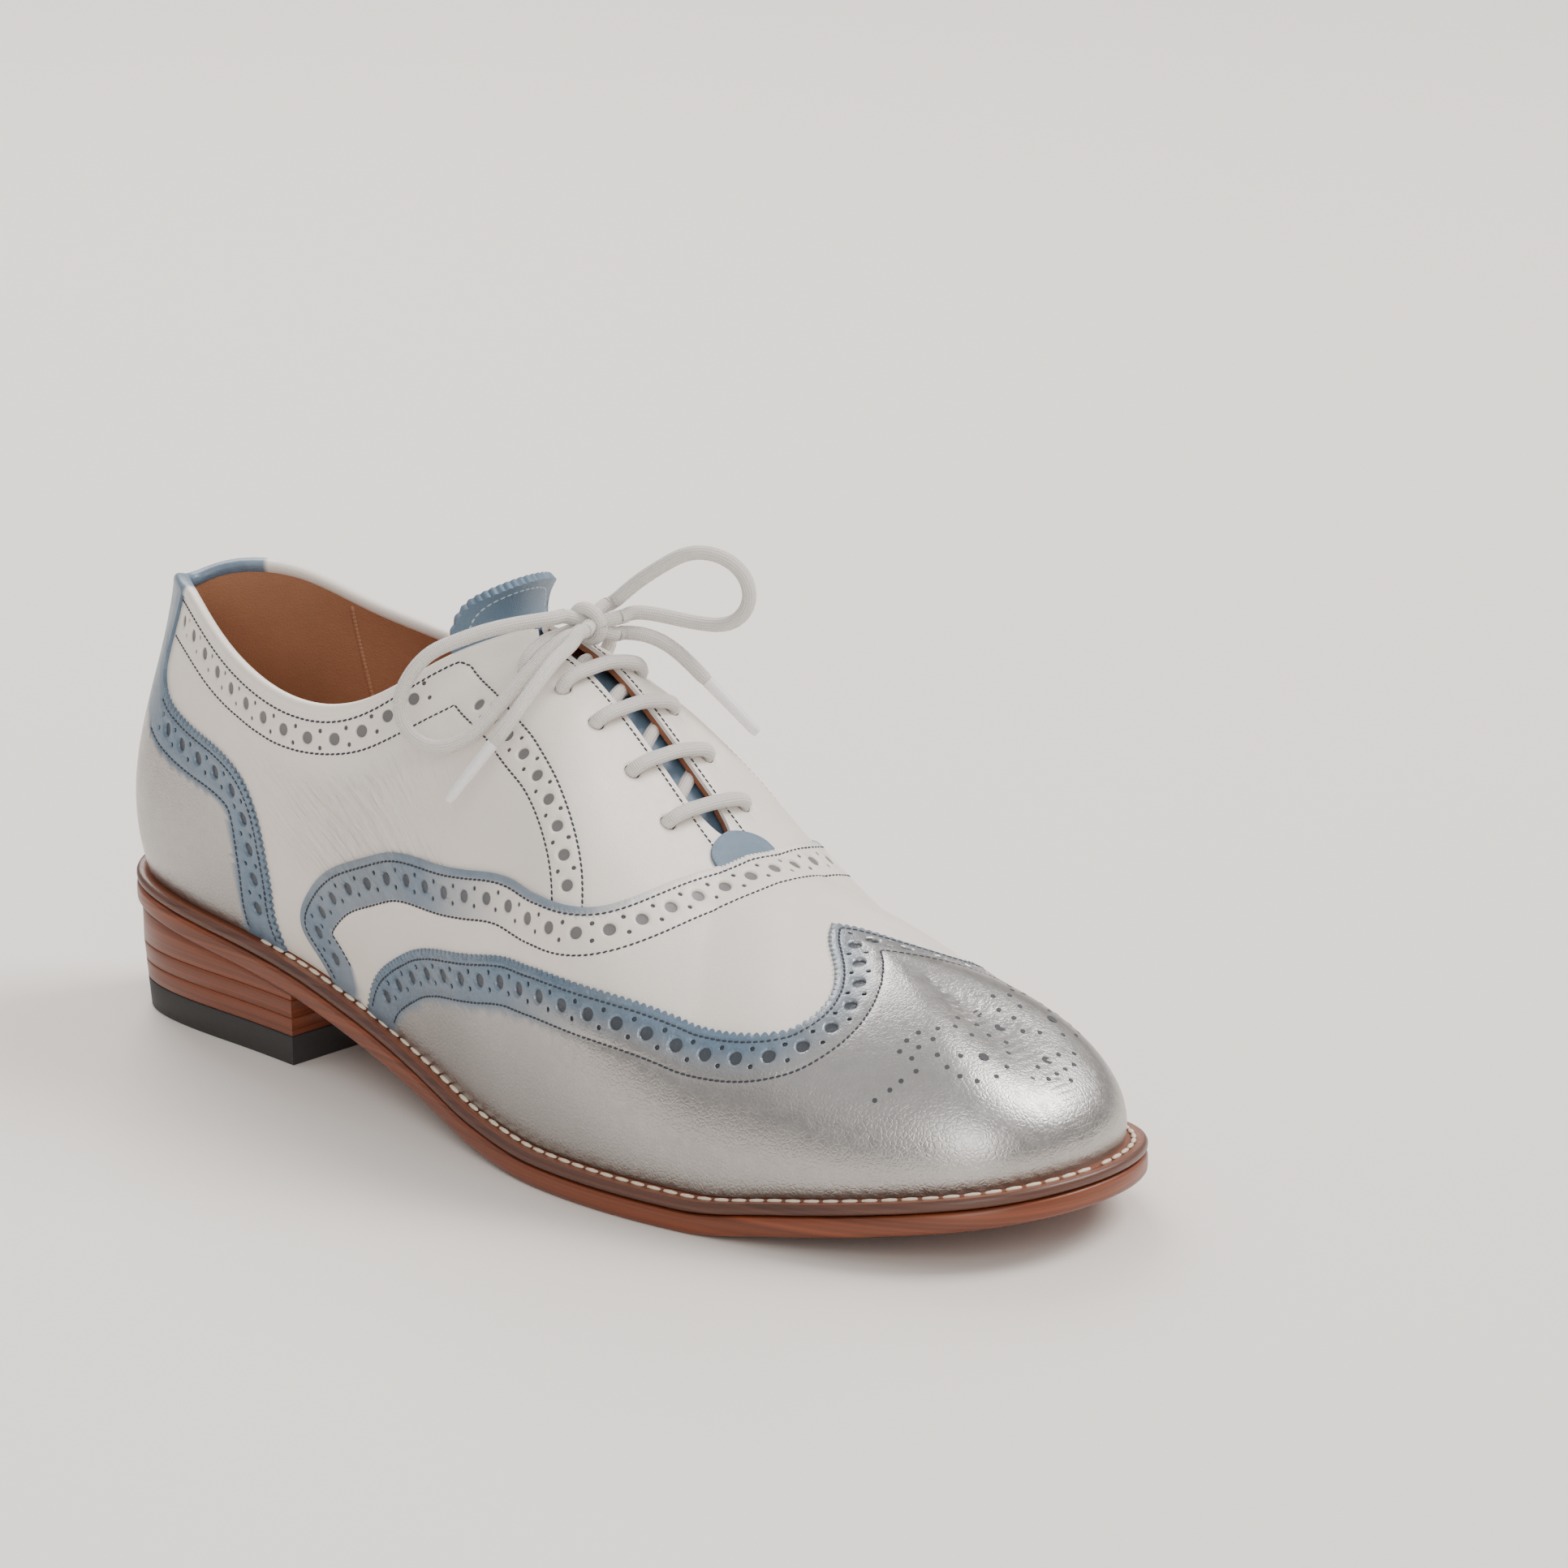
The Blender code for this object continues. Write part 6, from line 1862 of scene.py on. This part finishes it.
def make_trim():
    """The half moon tab under the vamp's edge and the rolled binding of the collar."""
    stuff = finishes()
    edge = mirrored_edge(VAMP_EDGE, 0.002)
    points = skin(edge[:, 0], edge[:, 1])
    run = chords(points)
    ridge = run[np.abs(edge[:, 1]).argmin()]
    beside = np.linspace(-TAB_WIDTH / 2, TAB_WIDTH / 2, 41)
    base = np.stack([np.interp(ridge + beside, run, edge[:, k]) for k in (0, 1)], 1)
    heading, _ = directions(base)
    lower = nudge(base, heading * 0.003)
    depth = TAB_DEPTH * np.sqrt(np.maximum(0.0, 1 - (beside / (TAB_WIDTH / 2)) ** 2))
    arc = nudge(base, -heading * depth[:, None])
    loop = np.vstack([lower, arc[::-1]])
    apart = np.diff(chords(skin(loop[:, 0], loop[:, 1]))) > 1e-5
    loop = loop[np.concatenate([[True], apart])]
    loop = with_depth(loop, 0.0001)
    tab = panel("throat_half_moon", [loop], TAB, [stuff["blue_leather_fine"]], step=0.0012)
    place_piece(tab, "blue_leather", "throat_tab")
    halves = [collar_line(side, 0.0014) for side in (-1, 1)]
    line = np.vstack([halves[0][:0:-1], halves[1]])
    line = line[line[:, 0] < BINDING_END]
    rim = skin(line[:, 0], line[:, 1])
    side = np.sign(line[:, 1])
    below = skin(line[:, 0], side * 0.01)
    out = skin_normal(line[:, 0], line[:, 1])
    rise = rim - below
    rise /= np.linalg.norm(rise, axis=1)[:, None]
    for rows in (rim, out, rise):
        for _ in range(6):
            rows[1:-1] = (rows[:-2] + 2 * rows[1:-1] + rows[2:]) / 4
    profile = [
        (1.14, -1.3), (1.34, -0.9), (1.42, -0.2), (1.36, 0.4), (1.12, 0.9), (0.72, 1.25), (0.25, 1.42),
        (-0.25, 1.42), (-0.72, 1.25), (-1.12, 0.9), (-1.36, 0.4), (-1.42, -0.2), (-1.34, -0.9), (-1.14, -1.3),
    ]
    mesh = bmesh.new()
    levels = []
    lap = 0.95 * smooth(0.150, 0.115, line[:, 0])
    for point, normal, upward, more in zip(rim, out, rise, lap):
        middle = point - normal * WALL / 2
        ring = [middle + (normal * (a + more * (a > 0)) + upward * b) * 0.001 for a, b in profile]
        levels.append([mesh.verts.new(spot) for spot in ring])
    for lower_ring, upper_ring in zip(levels, levels[1:]):
        join_rings(mesh, lower_ring, upper_ring)
    mesh.faces.new(levels[0])
    mesh.faces.new(levels[-1][::-1])
    binding = from_bmesh("rolled_binding", mesh, [stuff["white_leather_fine"]], sharp=0.9)
    dye_and_shade = binding.data.attributes.new("dye_and_shade", "FLOAT", "POINT")
    back = (line[:, 0] < np.where(line[:, 1] < 0, 0.137, 0.117)).astype(float)
    dye_and_shade.data.foreach_set("value", np.repeat(back, len(profile)).astype(np.float32))
    place_piece(binding, "white_leather", "collar_binding")


def make_tongue():
    """A curved flap under the facings, blue outside, with a pinked and stitched free end."""
    stuff = finishes()
    sizes = bpy.context.scene.shoe_sizes
    rows = np.array(TONGUE)
    ball = SOLE_THICKNESS + WELT_THICKNESS
    rows = rows * [LENGTH, FACING_HEIGHT, BALL_WIDTH, BALL_WIDTH] + [0, ball, 0, 0]
    run = chords(rows[:, :2])
    centre = spline(run, rows)
    end = run[-1]
    radius = TONGUE_ROUND * BALL_WIDTH
    turns = np.linspace(-pi / 2, pi / 2, 181)
    arc = chords(np.stack([radius * np.sin(turns), radius * np.cos(turns)], 1))
    teeth = 0.55 * sizes.tooth_depth * (np.abs(np.sin(pi * arc / sizes.tooth_pitch)) - 1)

    def on_tongue(share, place, level=0):
        row = centre(place)
        ahead = (centre(place + DELTA) - row)[:, :2] / DELTA
        level_part = np.zeros(len(row))
        bend = np.stack([ahead[:, 1], level_part, -ahead[:, 0]], 1)
        point = np.stack([row[:, 0], RIDGE_SIDE * BALL_WIDTH + share * row[:, 2], row[:, 1]], 1)
        point -= bend * (row[:, 3] * share**2)[:, None]
        tilt = bend + np.stack([level_part, 1.7 * row[:, 3] / row[:, 2] * share, level_part], 1)
        tilt /= np.linalg.norm(tilt, axis=1)[:, None]
        return point - tilt * TONGUE_THICKNESS * level, tilt

    mesh = bmesh.new()
    faces = []
    for level in (0, 1):
        sheet_rows = []
        for climb in np.linspace(0, 1, 64):
            share = np.sin(turns) * (1 + teeth / radius * climb**16)
            place = (end - radius + (radius + teeth) * np.cos(turns)) * climb
            sheet_rows.append([mesh.verts.new(point) for point in on_tongue(share, place, level)[0]])
        faces.append(sheet_rows)
    for level, sheet_rows in enumerate(faces):
        for lower, upper in zip(sheet_rows, sheet_rows[1:]):
            for j in range(len(turns) - 1):
                mesh.faces.new([lower[j], lower[j + 1], upper[j + 1], upper[j]]).material_index = level
    borders = []
    for sheet_rows in faces:
        down = [row[-1] for row in sheet_rows[:-1]][::-1]
        start = sheet_rows[0][1:-1][::-1]
        borders.append([row[0] for row in sheet_rows] + sheet_rows[-1][1:] + down + start)
    border, under = borders
    for i in range(len(border)):
        j = (i + 1) % len(border)
        mesh.faces.new([border[i], border[j], under[j], under[i]])
    seam = 1 - 0.0032 / radius
    flank = np.linspace(0.55, 1, 80)
    share = np.concatenate([np.full(80, -seam), seam * np.sin(turns), np.full(80, seam)])
    rounded = end - radius + seam * radius * np.cos(turns)
    place = np.concatenate([flank * rounded[0], rounded, flank[::-1] * rounded[-1]])
    points, tilts = on_tongue(share, place)
    length = chords(points)
    even = np.arange(0, length[-1], 1.2 * sizes.stitch)
    points = np.stack([np.interp(even, length, points[:, k]) for k in range(3)], 1)
    tilts = np.stack([np.interp(even, length, tilts[:, k]) for k in range(3)], 1)
    ways = np.gradient(points, axis=0)
    ways /= np.linalg.norm(ways, axis=1)[:, None]
    spots = list(zip(points, ways, tilts))
    thread = sew("tongue_stitches", spots, 0.0014, 0.0006, 0.0004, stuff["blue_thread"])
    place_piece(thread, "blue_leather")
    sides = [stuff["blue_leather_fine"], stuff["lining_leather_fine"]]
    tongue = from_bmesh("blue_tongue", mesh, sides, sharp=0.9)
    place_piece(tongue, "blue_leather", "tongue")


class SHOE_OT_stage(bpy.types.Operator):
    """Pale floor, soft light and the camera"""
    bl_idname = "shoe.stage"
    bl_label = "Stage"

    def execute(self, context):
        make_stage()
        return {"FINISHED"}


class SHOE_OT_free_lace(bpy.types.Operator):
    """Loops and tipped ends of the lace"""
    bl_idname = "shoe.free_lace"
    bl_label = "Bow and ends"

    def execute(self, context):
        make_free_lace()
        return {"FINISHED"}


class SHOE_OT_sole(bpy.types.Operator):
    """Outsole, welt, insole and stacked heel"""
    bl_idname = "shoe.sole"
    bl_label = "Sole and heel"

    def execute(self, context):
        make_sole()
        return {"FINISHED"}


class SHOE_OT_quarters(bpy.types.Operator):
    """Lining and white quarters with their bands"""
    bl_idname = "shoe.quarters"
    bl_label = "Quarters"

    def execute(self, context):
        make_quarters()
        return {"FINISHED"}


class SHOE_OT_vamp(bpy.types.Operator):
    """White vamp with its punched band"""
    bl_idname = "shoe.vamp"
    bl_label = "Vamp"

    def execute(self, context):
        make_vamp()
        return {"FINISHED"}


class SHOE_OT_wing_cap(bpy.types.Operator):
    """Silver wing cap with its blue band and toe ornament"""
    bl_idname = "shoe.wing_cap"
    bl_label = "Wing cap"

    def execute(self, context):
        make_wing_cap()
        return {"FINISHED"}


class SHOE_OT_counter(bpy.types.Operator):
    """Silver counter with its blue band and back stay"""
    bl_idname = "shoe.counter"
    bl_label = "Heel counter"

    def execute(self, context):
        make_counter()
        return {"FINISHED"}


class SHOE_OT_trim(bpy.types.Operator):
    """Half moon tab and rolled binding of the collar"""
    bl_idname = "shoe.trim"
    bl_label = "Trim"

    def execute(self, context):
        make_trim()
        return {"FINISHED"}


class SHOE_OT_tongue(bpy.types.Operator):
    """Blue tongue with its stitched free end"""
    bl_idname = "shoe.tongue"
    bl_label = "Tongue"

    def execute(self, context):
        make_tongue()
        return {"FINISHED"}


class SHOE_OT_lacing(bpy.types.Operator):
    """Bars, crossing strands and knot"""
    bl_idname = "shoe.lacing"
    bl_label = "Lacing"

    def execute(self, context):
        make_lacing()
        return {"FINISHED"}


OPERATORS = (
    SHOE_OT_stage, SHOE_OT_free_lace, SHOE_OT_sole, SHOE_OT_quarters, SHOE_OT_vamp, SHOE_OT_wing_cap,
    SHOE_OT_counter, SHOE_OT_trim, SHOE_OT_tongue, SHOE_OT_lacing,
)


class SHOE_PT_pieces(bpy.types.Panel):
    """Sizes, colours and pieces of the shoe"""
    bl_idname = "SHOE_PT_pieces"
    bl_label = "Spectator shoe"
    bl_space_type = "VIEW_3D"
    bl_region_type = "UI"
    bl_category = "Shoe"

    def draw(self, context):
        layout = self.layout
        for values in (context.scene.shoe_sizes, context.scene.shoe_colours):
            for name in type(values).__annotations__:
                layout.prop(values, name)
        for operator in OPERATORS:
            layout.operator(operator.bl_idname)


CLASSES = (ShoeSizes, ShoeColours, *OPERATORS, SHOE_PT_pieces)


def register():
    for item in CLASSES:
        bpy.utils.register_class(item)
    bpy.types.Scene.shoe_sizes = PointerProperty(type=ShoeSizes)
    bpy.types.Scene.shoe_colours = PointerProperty(type=ShoeColours)


def unregister():
    del bpy.types.Scene.shoe_colours
    del bpy.types.Scene.shoe_sizes
    for item in reversed(CLASSES):
        bpy.utils.unregister_class(item)


def main():
    """Build the whole shoe in order."""
    register()
    bpy.ops.shoe.stage()
    bpy.ops.shoe.free_lace()
    bpy.ops.shoe.sole()
    bpy.ops.shoe.quarters()
    bpy.ops.shoe.vamp()
    bpy.ops.shoe.wing_cap()
    bpy.ops.shoe.counter()
    bpy.ops.shoe.trim()
    bpy.ops.shoe.tongue()
    bpy.ops.shoe.lacing()


if __name__ == "__main__":
    main()
